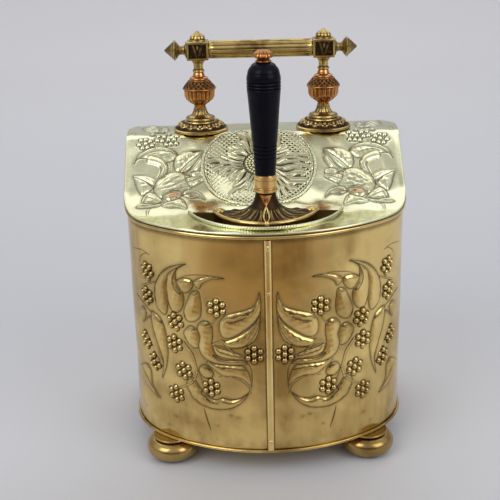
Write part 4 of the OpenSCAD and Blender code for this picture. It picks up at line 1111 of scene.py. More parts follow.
        # left side leaves
        r.leaf([(151.5, 311.9), (154.5, 312.3), (161.2, 319.4), (165.4, 330.3), (167.7, 343.2),
               (168.3, 353.5), (166.7, 366.8), (162.5, 377.4), (163.8, 362.6), (159.6, 349.7),
               (155.4, 336.8), (151.9, 323.9)], hi, 7.0)
        r.leaf([(146.1, 320.6), (150.6, 315.8), (153.5, 327.1), (156.7, 338.4), (160.9, 351.3),
               (163.8, 364.2), (161.2, 364.2), (155.7, 352.3), (150.9, 340.3), (147, 330.3)], hi * 0.9,
               6.0)
        r.leaf([(140.6, 309.4), (143.5, 305.8), (146.1, 311), (145.4, 319), (142.2, 320.6)], hi * 0.7,
               4.0)
        r.leaf([(141, 366.4), (147, 363), (151.4, 371), (153, 384), (160.4, 397.4), (150, 388),
               (144, 378)], hi * 0.7, 5.0, rib=[(144, 367), (149, 378), (158, 395)])
        r.line([(133.4, 247.2), (141.4, 249.4), (149, 254.6)], 0.5)
        r.line([(139.4, 262), (141, 256), (145, 253), (149.4, 255.6)], 0.5)
        r.soften(3)
        # stems
        r.stem([(183.6, 342), (192, 353.6), (195.4, 363.6), (199.4, 375), (203.8, 384)], 1.5, 1.0, 1.0)
        r.stem([(197, 371), (194.4, 380), (188, 384.4), (181.4, 386.6)], 1.3, 0.9, 0.9)
        r.stem([(215.4, 318.6), (210.4, 327)], 0.9, 0.7, 0.8)
        r.stem([(213, 344.4), (222, 340.8), (225.4, 345), (235, 353.6), (244, 356.8)], 1.0, 0.8, 0.9)
        r.stem([(142, 285), (148, 283.6), (155, 281.6)], 1.0, 0.7, 0.7)
        r.stem([(137.4, 294), (143, 302), (151, 311.6)], 1.0, 0.7, 0.8)
        r.line([(204, 408), (206.6, 418), (211, 430.4)], 0.9, 0.45)
        # berries
        for px, py, turn in (
            (216.3, 308, 0.5), (175, 321.6, 0.3), (174.7, 343.4, 0.5), (184.2, 370.4, 0.35),
            (176.8, 393.2, 0.5), (211.4, 387.8, 0.5), (254.2, 355, 0.52), (146.7, 271, 0.2),
            (146.7, 295.4, 0.4), (146.2, 339.2, 0.2), (155, 361.2, 0.4),
        ):
            s, z = on_case([(px, py)])[0]
            r.cluster(s, z, 7.4, 3.05, be, turn)
        # round to the side, which the photograph only shows as an outline: places on the panel
        for s, z in ((236.0, 232.0), (252.0, 218.0), (238.0, 206.0)):
            r.cluster(s, z, 6.6, 2.8, be * 0.9)
        r.at = np.asarray
        r.leaf([(226.0, 190), (238, 196), (252, 186), (262, 168), (266, 150), (254, 158), (240, 168),
                (230, 178)], hi * 0.8, 6.0, rib=[(228.0, 188), (244, 180), (264, 153)])
        r.leaf([(224.0, 130), (236, 138), (248, 132), (256, 116), (258, 98), (246, 104), (234, 114)],
               hi * 0.7, 6.0, rib=[(226.0, 129), (240, 122), (256, 101)])
        # brown stains near the foot
        self.spots(
            r, (170, 424, 2.6, 0.5), (177, 416, 3.6, 0.4), (231, 416, 2.8, 0.5), (238, 418, 3.4, 0.4),
            (218, 426, 2.0, 0.45), (200, 434, 1.2, 0.7), (182, 435, 1.0, 0.7), (217, 439, 1.0, 0.7),
            (147, 405, 2.6, 0.35), (206, 352, 1.5, 0.3),
        )

    def execute(self, context):
        p = context.scene.scuttle_relief
        s = np.concatenate([
            np.arange(0.1, 168.0, 0.8), np.arange(168.0, 276.0, 1.5), np.arange(276.0, S_SIDE, 4.0),
            np.linspace(S_SIDE, S_CORNER, 14), [S_CORNER + RETURN_W],
        ])
        x, y, nx, ny = plan_at(s)
        top = lid_z(y) - LID_T - SEAT
        # even rows up to the lowest part of the lid, and from there rows that rise with it
        level = 258.0
        z = np.concatenate([np.linspace(Z_FLOOR + SEAT, 46.0, 10)[:-1], np.arange(46.0, level, 0.82)])
        z = z[:, None] + np.zeros_like(s)
        z = np.concatenate([z, level + np.linspace(0, 1, 16)[:, None] * (top - level)])
        r = Relief(np.broadcast_to(s, z.shape), z)
        r.ripple(p.ripple, 0.35)
        self.foliage(r, p)
        # painted shade: it darkens towards the foot, along the front seam beside the strip and under the lid
        ground = 0.35 * bell(r.v - 33.0, 9.0)
        ground = ground * (0.5 + 0.5 * np.sin(0.31 * r.u) * np.sin(0.13 * r.u + 1))
        for shadow in (0.8 * bell(r.v - Z_FLOOR, 1.8), 0.95 * bell(r.u - 3.6, 0.9),
                       0.6 * bell((top - z).ravel() - 7.0, 2.5), ground):
            r.dark = np.maximum(r.dark, shadow)
        h = r.h.reshape(z.shape) * held((z - Z_FLOOR) / 8) * held((top - 4.0 - z) / 6)
        h = h * held(s / 5.0) * held((S_CORNER - s) / 20)
        xi, yi, _, _ = plan_at(s, -SHEET_T)
        xi[-1], yi[-1] = x[-1], y[-1] - SHEET_T
        outer = np.stack([x + h * nx, y + h * ny, z], -1)
        inner = np.stack([np.stack([xi, yi, z[i]], -1) for i in (0, -1)])
        points = np.concatenate([outer, inner]).reshape(-1, 3)
        rows, cols = z.shape
        number = np.arange(len(points)).reshape(-1, cols)
        faces = grid_faces(rows, cols) + closing_faces(number[:rows].T, *number[rows:], flip=True)
        dark = np.concatenate([r.dark, np.full(2 * cols, 0.4)])
        for word, side in (("left", -1), ("right", 1)):
            side_faces = faces if side > 0 else [f[::-1] for f in faces]
            ob = sheet_mesh(word + "_panel_embossed", points * (side, 1, 1), side_faces,
                            {"patina": dark}, 60.0)
            finish_piece(ob, "case", "case brass", "brass", word + "_side_panel")
        return {"FINISHED"}


class SCUTTLE_OT_mouldings(bpy.types.Operator):
    """Runs the mouldings: lid rim, base edge, front strip and its pins"""

    bl_idname = "scuttle.mouldings"
    bl_label = "Mouldings"

    def run(self, name, s, profile, heights):
        """Draws a profile of (outwards, up, patina and painted shade) along places s of the outline."""
        rings = []
        for out, up, _ in profile:
            x, y, _, _ = plan_at(np.abs(s), out)
            rings.append(np.stack([np.where(s < 0, -x, x), y, heights(y) + up], -1))
        dark = np.tile([q[2] for q in profile], len(s))
        return tube_mesh(name, np.stack(rings, 1), 50.0, dark)

    def execute(self, context):
        # both sides of the outline, from the left back round the front to the right back
        outline = np.concatenate([-np.arange(S_CORNER, 0, -1.6), np.arange(0, S_CORNER, 1.6)])
        rim = outline[plan_at(np.abs(outline))[1] <= RIM_END]
        # each profile's last column darkens its grooves and undersides: patina with painted shade
        ob = self.run("lid_edge_roll", rim, [
            (0.9, -1.65, 1.0), (0.9, 0.02, 0.3), (1.25, 0.22, 0.0), (1.7, 0.4, 0.0), (2.2, 0.36, 0.0),
            (2.6, 0.1, 0.0), (2.8, -0.35, 0.0), (2.8, -0.8, 0.0), (2.6, -1.25, 0.2), (2.2, -1.55, 0.9),
        ], lid_z)
        finish_piece(ob, "lid", "lid brass", "lid_brass")
        ob = self.run("lid_rim_moulding", rim, [
            (0.7, -6.9, 1.0), (1.3, -6.95, 1.0), (1.5, -6.6, 0.9), (1.6, -6.3, 0.7), (2.2, -6.2, 0.2),
            (2.8, -5.8, 0.0), (3.1, -5.2, 0.0), (3.2, -4.5, 0.0), (3.1, -3.8, 0.0), (2.8, -3.2, 0.0),
            (2.3, -2.8, 0.3), (1.8, -2.6, 1.0), (1.6, -2.2, 1.0), (1.7, -1.75, 1.0), (0.7, -1.72, 1.0),
        ], lid_z)
        finish_piece(ob, "lid", "case brass", "brass", "lid_rim_bead")
        ob = self.run("base_moulding", outline, [
            (0.1, 0.15, 0.6), (1.5, 0.15, 0.3), (2.3, 0.3, 0.0), (2.65, 0.7, 0.0), (2.6, 1.1, 0.0),
            (2.2, 1.35, 0.6), (1.7, 1.5, 1.0), (1.7, 1.75, 1.0), (2.1, 1.95, 0.2), (2.2, 2.3, 0.0),
            (1.9, 2.65, 0.0), (1.3, 2.85, 0.5), (0.9, 2.95, 1.0), (0.3, 3.1, 1.0),
        ], lambda y: np.full_like(y, Z_BASE))
        finish_piece(ob, "case", "case brass", "brass")
        # half-round strip over the front seam
        wide, deep = 3.5, 2.4
        t = np.linspace(-1, 1, 15) * math.pi / 2
        u = np.concatenate([[-wide], wide * np.sin(t), [wide]])
        x, y, _, _ = plan_at(np.abs(u), SEAT + deep * np.concatenate([[0.0], np.cos(t), [0.0]]))
        arch = np.stack([np.copysign(x, u), y, np.zeros_like(x)], -1)
        z = np.linspace(Z_FLOOR + 0.2, Z_RIM - 0.2, 60)
        ob = tube_mesh("front_strip_half_round", arch + z[:, None, None] * (0, 0, 1), 40.0)
        finish_piece(ob, "case", "strip brass", "brass", "front_cover_strip")
        # pins: a long drop at the top, a flat one below it and a knob at the foot
        low, high, y = Z_FLOOR + 10.0, Z_RIM - 9.0, -FRONT - SEAT - deep + 0.55
        ob = merged("front_strip_pins", [
            ball("pin", r, (1.0, 0.62, tall), (0, y, low + part * (high - low)), 28, 16)
            for part, r, tall in ((1.0, 1.9, 1.7), (0.78, 1.7, 1.1), (0.0, 2.3, 1.0))
        ])
        finish_piece(ob, "case", "strip brass", "brass", "strip_pins")
        return {"FINISHED"}


class SCUTTLE_OT_feet(bpy.types.Operator):
    """Turns the four bun feet"""

    bl_idname = "scuttle.feet"
    bl_label = "Feet"

    def execute(self, context):
        profile = rounded([
            (12.6, 0.0), (13.4, 0.0), (15.5, 0.4), (20.0, 1.9), (24.8, 4.8), (28.0, 8.8),
            (29.1, 13.0), (28.6, 17.2), (26.4, 20.9), (23.0, 23.3), (19.4, 24.4), (17.8, 24.7),
            (17.5, 25.1), (19.6, 25.5), (21.4, 26.0), (21.7, 26.9), (21.2, 27.75), (20.0, 27.8),
        ], 4)

        # painted shade in the neck under the collar, and under the bun where it stands
        def dark_bands(r, a, z):
            return r, z, held(bell(z - 25.0, 0.7) + 0.6 * bell(z, 2.2))

        for name, x, y in (
            ("front_left_foot", -108.5, -65.5), ("front_right_foot", 108.5, -65.5),
            ("rear_left_foot", -114.0, 84.0), ("rear_right_foot", 114.0, 84.0),
        ):
            ob = turned(name + "_bun", profile, (x, y, 0.0), 80, carve=dark_bands)
            finish_piece(ob, "case", "foot brass", "brass", name)
        return {"FINISHED"}


class SCUTTLE_OT_posts(bpy.types.Operator):
    """Turns and chases the handle's two posts"""

    bl_idname = "scuttle.posts"
    bl_label = "Handle posts"

    def rosette(self, side):
        out, hub = DISC_R, DISC_R * 0.56
        profile = [(out - 0.8, 0.0), (out - 0.1, 0.5), (out, 1.4), (out - 0.2, 2.4), (out - 1.0, 3.1),
                   (out - 1.9, 3.3)]
        profile += fine([(out - 2.2, 3.8), (out - 4.6, 6.8), (out - 8.8, 9.4), (hub + 1.2, 10.7)], 0.6)
        profile += [(hub + 0.6, 11.1), (hub, 11.9), (hub - 2.0, 12.0), (7.0, 12.0)]
        cells = 14

        def chase(r, a, z):
            c = (a / (2 * math.pi) * cells) % 1.0 - 0.5
            wide = 2 * math.pi * r / cells
            u, v = c * wide, (r - out + 8.6) * 1.1
            band = (r > hub + 0.9) & (r < out - 2.3)
            rim = bell(np.hypot(u, v) - 4.4, 0.62) * (v > -1.4)
            bead = dome(np.hypot(u, v - 0.2) / 1.9)
            drop = dome(np.hypot(np.abs(u) - wide / 2, (v - 2.6) / 1.7))
            lift = np.where(band, 1.0 * rim + 1.2 * bead + 0.7 * drop - 0.6, 0.0)
            dark = np.where(band, held(1.0 - 1.7 * rim - 1.9 * bead - 1.5 * drop), 0.0)
            return r + 0.35 * lift, z + 0.8 * lift, np.maximum(dark, bell(r - out + 2.2, 0.4))

        return turned("rosette_chased", profile, (side * POST_X, POST_Y, Z_DISC), 252, carve=chase)

    def stem(self, side):
        profile = [(15.9, 0.0), (16.9, 0.6), (17.1, 1.7), (16.6, 2.8), (15.6, 3.4)]
        profile += fine([(15.2, 3.7), (12.2, 4.6), (9.6, 6.6), (8.0, 9.4), (7.2, 12.4), (7.0, 15.0),
                         (6.2, 15.4)], 0.7)

        def leaves(r, a, z):
            f = np.abs(np.cos(6 * a))
            k = stretch(z, 3.6, 14.6, 2, 2)
            cut = held(1 - f * 2.2) + 0.5 * held(1 - np.abs(np.sin(6 * a)) * 5)
            dark = np.maximum(held(k * (cut + 0.25)), 0.9 * bell(z - 3.6, 0.4))
            return r + k * (0.7 * f - 0.5), z, dark

        return turned("stem_leafy", profile, (side * POST_X, POST_Y, Z_STEM), 144, carve=leaves)

    def urn(self, side):
        profile = rounded([
            (6.0, 0.0), (7.9, 2.4), (13.8, 6.3), (16.5, 10.2), (17.1, 14.2), (17.4, 17.6),
            (18.4, 19.4), (19.2, 20.3), (19.3, 21.0), (18.4, 22.0), (16.6, 24.4), (14.2, 27.2),
            (11.9, 29.9), (10.7, 31.0), (10.6, 32.2), (9.6, 33.2), (7.4, 34.0), (6.9, 35.0),
            (6.5, 36.6), (5.8, URN_H),
        ], 3)

        def chase(r, a, z):
            low, lobe = stretch(z, 0.0, 8.8, 2, 1), np.abs(np.cos(6 * a))
            high, rib = stretch(z, 9.6, 19.4, 1, 0.8), np.abs(np.cos(10 * a)) ** 0.7
            band = stretch(z, 22.0, 30.2, 0.6, 0.6)
            one, two = np.abs(np.sin(9 * a + z * 0.62)), np.abs(np.sin(9 * a - z * 0.62))
            net = held(1.1 - np.minimum(one, two) * 2.6)
            dark = low * held(1.0 - lobe * 1.5)
            dark = np.maximum(dark, high * held(1.0 - rib * 1.4))
            dark = np.maximum(dark, band * (0.95 - 0.75 * net))
            for at in (9.2, 19.7, 21.9, 31.0, 34.2):
                dark = np.maximum(dark, 0.9 * bell(z - at, 0.42))
            r = r + low * (1.1 * lobe - 0.9) + high * (1.5 * rib - 1.2) + band * (0.7 * net - 0.5)
            return r, z, held(dark)

        place = (side * POST_X, POST_Y, Z_URN)
        return turned("urn_chased", fine(profile, 0.75), place, 192, carve=chase)

    def neck(self, side):
        profile = rounded([
            (5.8, 0.0), (6.4, 0.4), (6.9, 1.3), (6.9, 2.2), (6.3, 3.0), (5.5, 3.5), (5.35, 5.0),
            (5.5, 8.0), (6.0, 10.2), (7.0, 11.8), (7.7, 12.6), (7.9, 13.4), (7.6, 14.4), (6.8, 14.6),
        ], 3)

        def dark_bands(r, a, z):
            return r, z, held(0.9 * bell(z - 3.6, 0.7) + 0.5 * bell(z - 11.8, 0.6))

        return turned("neck_ringed", profile, (side * POST_X, POST_Y, Z_NECK), 64, carve=dark_bands)

    def block(self, side):
        """Square block: four faces drawn in to a frame, with a leaf panel in each."""
        deselect()
        bpy.ops.mesh.primitive_cube_add(size=1.0)
        ob = bpy.context.active_object
        ob.scale = ((BLOCK_W - 0.1) * MM, (BLOCK_W - 0.1) * MM, BLOCK_H * MM)
        settle()
        open_mesh()
        bpy.ops.mesh.bevel(offset=0.9 * MM, segments=3, affect="EDGES")
        bpy.ops.mesh.select_all(action="DESELECT")
        close_mesh()
        large = (BLOCK_W * 0.7 * MM) * (BLOCK_H * 0.7 * MM)
        for q in ob.data.polygons:
            q.select = abs(q.normal.z) < 0.1 and q.area > large
        bpy.ops.object.mode_set(mode="EDIT")
        bpy.ops.mesh.select_mode(type="FACE")
        bpy.ops.mesh.inset(thickness=1.3 * MM, depth=0.0, use_individual=True)
        bpy.ops.mesh.inset(thickness=0.5 * MM, depth=-1.2 * MM, use_individual=True)
        close_mesh()
        co = np.abs(points_of(ob.data))
        sunk = (co[:, :2].max(1) < BLOCK_W / 2 - 0.9) & (co[:, 2] < BLOCK_H / 2 - 1.2)
        give_values(ob.data, "patina", sunk)
        shade(ob.data, 35.0)
        # leaf panel, in the plane of a face
        u, v = np.meshgrid(np.linspace(-8.6, 8.6, 60), np.linspace(-7.0, 7.0, 50))
        r = Relief(u, v)
        for m in (-1, 1):
            r.leaf([(m * 6.2, 6.4), (m * 3.9, 6.6), (m * 0.5, -5.2), (m * 2.0, -6.4)], 1.2, 1.3,
                   rib=[(m * 5.0, 6.0), (m * 1.3, -5.6)], outline=0.3)
            r.leaf([(m * 8.0, -6.4), (m * 7.9, -1.6), (m * 6.0, 0.2), (m * 4.9, -2.4), (m * 5.2, -6.2)],
                   0.8, 1.4, rib=[(m * 6.9, -0.6), (m * 6.4, -6.0)], outline=0.3)
        r.leaf([(0, 6.4), (1.5, 3.4), (0, 0.2), (-1.5, 3.4)], 0.9, 1.2, outline=0.3)
        edge = (np.abs(u) > 8.4) | (np.abs(v) > 6.8)
        h = np.where(edge, -0.3, np.clip(r.h, 0, None).reshape(u.shape))
        dark = np.where(r.h < 0.3, 1.0, held(0.25 + r.dark * 0.7))
        y = 1.2 - BLOCK_W / 2 - h
        objects = [ob]
        for k in range(4):
            c, s = math.cos(k * math.pi / 2), math.sin(k * math.pi / 2)
            points = np.stack([c * u - s * y, s * u + c * y - SHIFT, v], -1)
            panel = sheet_mesh("leaf_panel", points, grid_faces(*u.shape), {"patina": dark}, 60.0)
            objects.append(panel)
        ob = merged("block_framed", objects)
        place = Vector((side * POST_X, POST_Y + SHIFT, Z_BLOCK + BLOCK_H / 2))
        ob.data.transform(Matrix.Translation(place * MM))
        return ob

    def acorn(self, side):
        profile = rounded([
            (9.4, -0.2), (9.7, 0.4), (9.3, 1.2), (8.2, 1.6), (8.8, 2.4), (8.9, 3.6), (8.0, 5.3),
            (6.0, 6.9), (3.8, 8.0), (2.6, 8.7), (2.2, 9.3), (1.9, 10.0), (1.3, 10.6), (0.5, 10.95),
        ], 4)

        def petals(r, a, z):
            f = np.abs(np.cos(3 * a + math.pi / 2))
            k = stretch(z, 1.6, 8.6, 1.2, 1.5)
            dark = np.maximum(k * held(0.95 - f * 2.0), bell(z - 1.6, 0.4))
            return r + k * (0.8 * f - 0.6), z, dark

        return turned("acorn_petalled", profile, (side * POST_X, POST_Y, Z_ACORN), 112, carve=petals)

    def tip(self, side):
        profile = [
            (9.0, 0.0), (9.3, 0.5), (9.2, 1.2), (7.2, 1.8), (5.4, 2.8), (4.9, 4.4), (4.7, 6.6),
            (5.2, 8.2), (6.8, 9.6), (8.8, 11.0), (9.1, 11.6), (9.6, 12.1), (10.9, 12.7), (11.5, 13.3),
            (11.6, 14.0), (11.2, 14.6), (10.2, 15.0), (9.6, 15.5), (9.3, 16.0), (6.6, 19.0),
            (3.6, 22.2), (1.2, 24.9), (0.3, 25.35),
        ]

        def dark_bands(r, a, z):
            dark = 0.95 * bell(z - 11.8, 0.5) + 0.95 * bell(z - 15.4, 0.5)
            return r, z, held(dark + 0.62 * (z > 16) + 0.5 * (z < 11.5))

        place = (side * (POST_X + BLOCK_W / 2 + SEAT), POST_Y, Z_BAR)
        return turned("end_finial_pointed", profile, place, 80, side, dark_bands)

    def execute(self, context):
        for side, word in ((-1, "left"), (1, "right")):
            for make, part in (
                (self.rosette, "rosette"), (self.stem, "stem_foot"), (self.urn, "urn"), (self.neck, "neck"),
                (self.block, "block"), (self.acorn, "acorn"), (self.tip, "end_finial"),
            ):
                ob = make(side)
                ob.name = word + "_" + ob.name
                finish = ("urn copper", "copper") if part == "urn" else ("antique brass", "antique_brass")
                finish_piece(ob, "lid", *finish, word + "_" + part)
        # reeded bar
        end = POST_X - BLOCK_W / 2 - SEAT
        ring = [(BAR_R - 0.7, -end), (BAR_R - 0.1, 0.5 - end), (BAR_R - 0.1, 2.2 - end),
                (BAR_R - 0.4, 2.7 - end)]
        reeded = [(BAR_R - 0.1, z) for z in np.linspace(3.2 - end, end - 3.2, 25)]
        profile = ring + reeded + [(r, -z) for r, z in ring[::-1]]

        def reeds(r, a, z):
            f = np.abs(np.cos(6.5 * a))
            k = held((end - 2.6 - np.abs(z)) / 0.8)
            groove = 1 - np.sqrt(held(1 - (1 - f) ** 1.8))
            return r - k * 1.3 * groove, z, k * held(1.1 - f * 2.6)

        ob = turned("handle_bar_reeded", profile, (0, POST_Y, Z_BAR), 192, 1, reeds, 60.0)
        finish_piece(ob, "lid", "antique brass", "antique_brass", "handle_bar")
        return {"FINISHED"}


class SCUTTLE_OT_slot_bead(bpy.types.Operator):
    """Lays the corded bead along the slot's curved edge"""

    bl_idname = "scuttle.slot_bead"
    bl_label = "Slot bead"

    def execute(self, context):
        thick, radius = 1.75, SLOT_R + 1.3
        end = math.pi - math.acos((SLOT_BACK - SLOT_C) / radius)
        t = np.linspace(-end, end, 700)
        z = np.full_like(t, Z_SHELF + thick + 0.05)
        path = np.stack([radius * np.sin(t), SLOT_C - radius * np.cos(t), z], -1)
        a = circle(14)
        strands = np.abs(np.cos(a - (t * radius)[:, None] * 1.05))
        section = thick * (0.86 + 0.14 * strands)[..., None] * np.stack([np.cos(a), np.sin(a)], -1)
        dark = held(0.45 - 0.9 * strands).ravel()
        ob = tube_mesh("slot_corded_bead", sweep_rings(path, section), 80.0, dark)
        finish_piece(ob, "lid", "lid brass", "lid_brass", "slot_bead")
        return {"FINISHED"}


class SCUTTLE_OT_shovel(bpy.types.Operator):
    """Makes the shovel's grip, knob, ferrule, leafy fan and rounded band"""

    bl_idname = "scuttle.shovel"
    bl_label = "Shovel"

    def execute(self, context):
        self.grip()
        self.knob()
        self.ferrule()
        self.fan()
        self.front_leaf()
        self.band()
        return {"FINISHED"}

    def grip(self):
        grip = rounded([
            (9.8, 0.0), (10.7, 0.3), (11.0, 6.0), (11.6, 15.0), (12.6, 30.0), (13.8, 48.0),
            (15.0, 64.0), (16.3, 80.0), (16.9, 86.0),
        ], 3)
        for g in (88.0, 91.2, 94.4):
            grip += [(17.0, g - 0.9), (16.6, g - 0.45), (16.1, g), (16.6, g + 0.45), (17.15, g + 0.9)]
        grip += rounded([
            (17.1, 96.2), (16.9, 99.0), (16.0, 102.6), (15.7, 103.2), (15.9, 103.8), (14.6, 106.8),
            (12.4, 109.6), (12.2, 110.2), (12.0, 110.6), (9.6, 112.4), (7.2, 113.4),
        ], 3)
        # four fine grooves low on the grip
        cuts = []
        for g in (17.7, 21.9, 26.0, 30.2):
            r = 11.0 + 0.058 * (g - 8.0)
            cuts += [(r, g - 1.0), (r + 0.12, g - 0.55), (r - 0.55, g), (r + 0.12, g + 0.55), (r, g + 1.0)]
        profile = [q for q in grip if q[1] < 16.4] + cuts + [q for q in grip if q[1] > 31.4]
        ob = turned("grip_turned", profile, (0, GRIP_Y, Z_GRIP), 96, angle=50.0)
        finish_piece(ob, "shovel", "black wood", "ebonised_wood", "shovel_grip")

    def knob(self):
        profile = rounded([
            (6.6, 0.0), (7.8, 0.2), (8.1, 0.8), (7.4, 1.5), (6.2, 2.0), (5.9, 2.6), (7.4, 3.6),
            (9.8, 4.6), (10.5, 5.6), (10.3, 6.8), (9.2, 8.6), (6.8, 10.4), (3.8, 11.6), (0.8, 12.0),
        ], 3)

        def petals(r, a, z):
            f = np.abs(np.cos(7 * a))
            k = held((z - 2.2) / 1.5) * held(r / 5)
            return r - k * 0.55 * (1 - f), z, held(k * (0.8 - 1.7 * f) + 0.7 * bell(z - 2.2, 0.6))

        ob = turned("copper_knob_petalled", profile, (0, GRIP_Y, Z_KNOB), 112, carve=petals)
        finish_piece(ob, "shovel", "urn copper", "copper", "shovel_finial")

    def ferrule(self):
        profile = fine([
            (11.3, 0.0), (12.3, 0.3), (12.7, 1.2), (12.3, 2.1), (11.4, 2.5), (11.2, 3.2), (11.5, 3.8),
            (11.5, 4.8), (11.2, 5.1), (11.5, 5.4), (11.4, 12.4), (11.1, 12.7), (11.35, 13.0),
            (11.3, 16.8), (11.5, 17.2), (11.3, 17.9), (10.6, 18.0),
        ], 1.2)

        def beaded(r, a, z):
            k = bell(z - 1.2, 0.8)
            f = np.abs(np.cos(20 * a))
            lines = 0.9 * bell(z - 2.8, 0.4) + 0.5 * bell(z - 5.1, 0.3) + 0.5 * bell(z - 12.7, 0.3)
            return r - k * 0.35 * (1 - f), z, held(lines + k * held(0.6 - f))

        ob = turned("ferrule_beaded", profile, (0, GRIP_Y, Z_FERRULE), 160, carve=beaded)
        finish_piece(ob, "shovel", "gilt", "brass", "shovel_ferrule")

    def fan(self):
        """Cast fan of leaves between the ferrule and the scoop's band."""
        lean = math.tan(TILT) * (Z_FAN - Z_SHELF)
        back = BLADE_Y + BLADE_DEPTH / math.cos(TILT) - lean
        free_r = BLADE_R - BLADE_T - BAND_OUT - 0.2
        # how far the fan reaches on each side, up to the band or the back of the scoop
        f, reach = circle(260), np.linspace(5, 75, 1401)
        x, y = np.cos(f)[:, None] * reach, GRIP_Y + np.sin(f)[:, None] * reach
        across = (y - BLADE_Y + lean) * math.cos(TILT)
        within = (x**2 + (across - BLADE_R) ** 2 < free_r**2) & (y < back)
        end = reach[np.argmin(within, axis=1)] - 0.05
        r = FAN_R + (np.linspace(0, 1, 64) ** 1.15)[:, None] * (end - FAN_R)
        out = r - FAN_R
        steep = 1 - held(out / FAN_FLARE)
        rise = Z_FERRULE - SEAT - Z_FAN - FAN_FLARE
        z = Z_FAN + FAN_FLARE * (1 - dome(steep)) + rise * steep**8
        # leaves: outlined lobes round the axis, each with a rib and a drop
        leaves = 13
        c = ((f + math.pi / 2) / (2 * math.pi) * leaves + 0.5) % 1.0 - 0.5
        wide = c * 2 * math.pi * r / leaves
        half = 2.1 + 3.4 * np.sin(math.pi * held((out - 5) / 27)) ** 0.8
        span = stretch(out, 5, 34, 2, 2)
        edge = bell(np.abs(wide) - half, 0.42) * span
        rib = bell(wide, 0.4) * span
        drop = dome(np.hypot(wide / 1.9, (out - 23) / 4.2))
        body = held(1 - (wide / (half + 0.01)) ** 2) * span
        lift = 0.75 * edge + 0.35 * rib + 0.9 * drop + 0.5 * body
        r2 = r + 0.7 * lift * steep
        z = z + lift * (1 - 0.5 * steep) * np.clip(end - r, 0.15, 1)
        face = np.stack([r2 * np.cos(f), GRIP_Y + r2 * np.sin(f), z], -1)
        low = np.stack([end * np.cos(f), GRIP_Y + end * np.sin(f), np.full_like(f, Z_FAN - 2.2)], -1)
        dark = 1.0 - held(edge * 0.95 + rib * 0.5 + drop * 0.25)
        dark = np.concatenate([dark.ravel(), np.full(len(f), 0.7)])
        ob = tube_mesh("fan_leafy", np.concatenate([face, low[None]]), 60.0, dark, flip=True)
        finish_piece(ob, "shovel", "antique brass", "antique_brass", "shovel_fan")

    def front_leaf(self):
        """Pointed copper leaf at the front of the fan, with a pearl under its tip."""
        n = 40
        u, v = np.meshgrid(np.linspace(-1, 1, n), np.linspace(0, 1, n))
        z = 302.4 - 11.5 * v
        r = FAN_R + 0.4 + FAN_FLARE * (1 - np.sqrt(1 - ((Z_FAN + FAN_FLARE - z) / FAN_FLARE) ** 2))
        a = u * (6.0 * (1 - v) ** 0.9 + 0.25) / r - math.pi / 2
        crown = 1.1 * (1 - u**2) + 0.7 + 0.35 * bell(6.5 * u, 0.7)
        sides = [
            np.stack([q * np.cos(a), GRIP_Y + q * np.sin(a), z + up], -1).reshape(-1, 3)
            for q, up in ((r + crown, 0.3), (r - 0.5, 0.0))
        ]
        number = np.arange(n * n).reshape(n, n)
        rim = np.concatenate([number[0], number[1:, -1], number[-1, -2::-1], number[-2:0:-1, 0]]).tolist()
        faces = grid_faces(n, n) + grid_faces(n, n, n * n, flip=True)
        faces += [[q, p, n * n + p, n * n + q] for p, q in zip(rim, rim[1:] + rim[:1])]
        leaf = sheet_mesh("front_copper_leaf", np.concatenate(sides), faces, None, 50.0)
        outwards(leaf)
        finish_piece(leaf, "shovel", "urn copper", "copper")
        pearl = ball("front_pearl", 1.9, (1, 1, 1.2), (0, GRIP_Y - FAN_R - 4.6, 289.6), 24, 16)
        finish_piece(pearl, "shovel", "antique brass", "antique_brass")

    def band(self):
        """Rounded band on the scoop's top edge, curled inwards at its ends, and its rivets."""
        radius, curl_r = BLADE_R - BLADE_T / 2 + 0.6, 5.4
        end = math.acos(1 - BLADE_DEPTH / BLADE_R) - 0.05
        t = np.linspace(-end, end, 160)
        y = BLADE_Y + (BLADE_R - radius * np.cos(t)) / math.cos(TILT)
        y = y - math.tan(TILT) * (Z_BAND - Z_SHELF)
        arc = np.stack([radius * np.sin(t), y, np.full_like(t, Z_BAND)], -1)
        # curls: shrinking spirals towards the inside and the front
        grown = np.linspace(0.0, 1.0, 60)
        turn, r = 2 * math.pi * 1.35 * grown, curl_r * (1 - 0.62 * grown)
        left, right = (
            tip + np.stack([side * (r * np.cos(turn) - curl_r), r * np.sin(turn), 1.5 * grown], -1)
            for tip, side in ((arc[0], -1), (arc[-1], 1))
        )
        path = np.concatenate([left[:0:-1], arc, right[1:]])
        n = len(path)
        thick = np.interp(np.arange(n), [0, 49, n - 50, n - 1], [0.6, 1, 1, 0.6])
        a = circle(16)
        section = thick[:, None, None] * np.stack([2.3 * np.cos(a), 2.2 * np.sin(a)], -1)
        # painted shade on the band's lower side
        dark = np.tile(held(-np.sin(a) * 1.2 - 0.5), n)
        ob = tube_mesh("scoop_band_rounded", sweep_rings(path, section), 80.0, dark)
        finish_piece(ob, "shovel", "case brass", "brass", "scoop_band")
        # open drop that runs from the pearl down over the fan to the band
        front = float(y.min())
        reach = np.array([14.5, 18.0, 22.5, 27.5, 31.5, GRIP_Y - front + 1.0])
        wide = np.array([0.3, 1.7, 2.7, 2.3, 1.2, 0.4])
        high = Z_FAN + FAN_FLARE * (1 - dome(1 - held((reach - FAN_R) / FAN_FLARE))) + 1.3
        high[-1] = Z_BAND + 1.6
        wire = 0.8 * np.stack([np.cos(a), np.sin(a)], -1)
        drops = []
        for side in (-1, 1):
            line = smooth_line(np.stack([side * wide, GRIP_Y - reach, high], -1), steps=6)
            drops.append(tube_mesh("drop_side", sweep_rings(line, wire), 80.0))
        # front rivet, and a boss in each scroll
        drops.append(ball("rivet", 2.4, (1.0, 0.6, 1.1), (0, front - 2.4, Z_BAND + 0.2)))
        for x, y, z in (arc[0] + (curl_r, 0, 1.0), arc[-1] - (curl_r, 0, -1.0)):
            drops.append(ball("boss", 2.3, (1, 1, 0.8), (x, y, z)))
        ob = merged("scoop_band_drops", drops)
        finish_piece(ob, "shovel", "strip brass", "copper", "scoop_rivets")


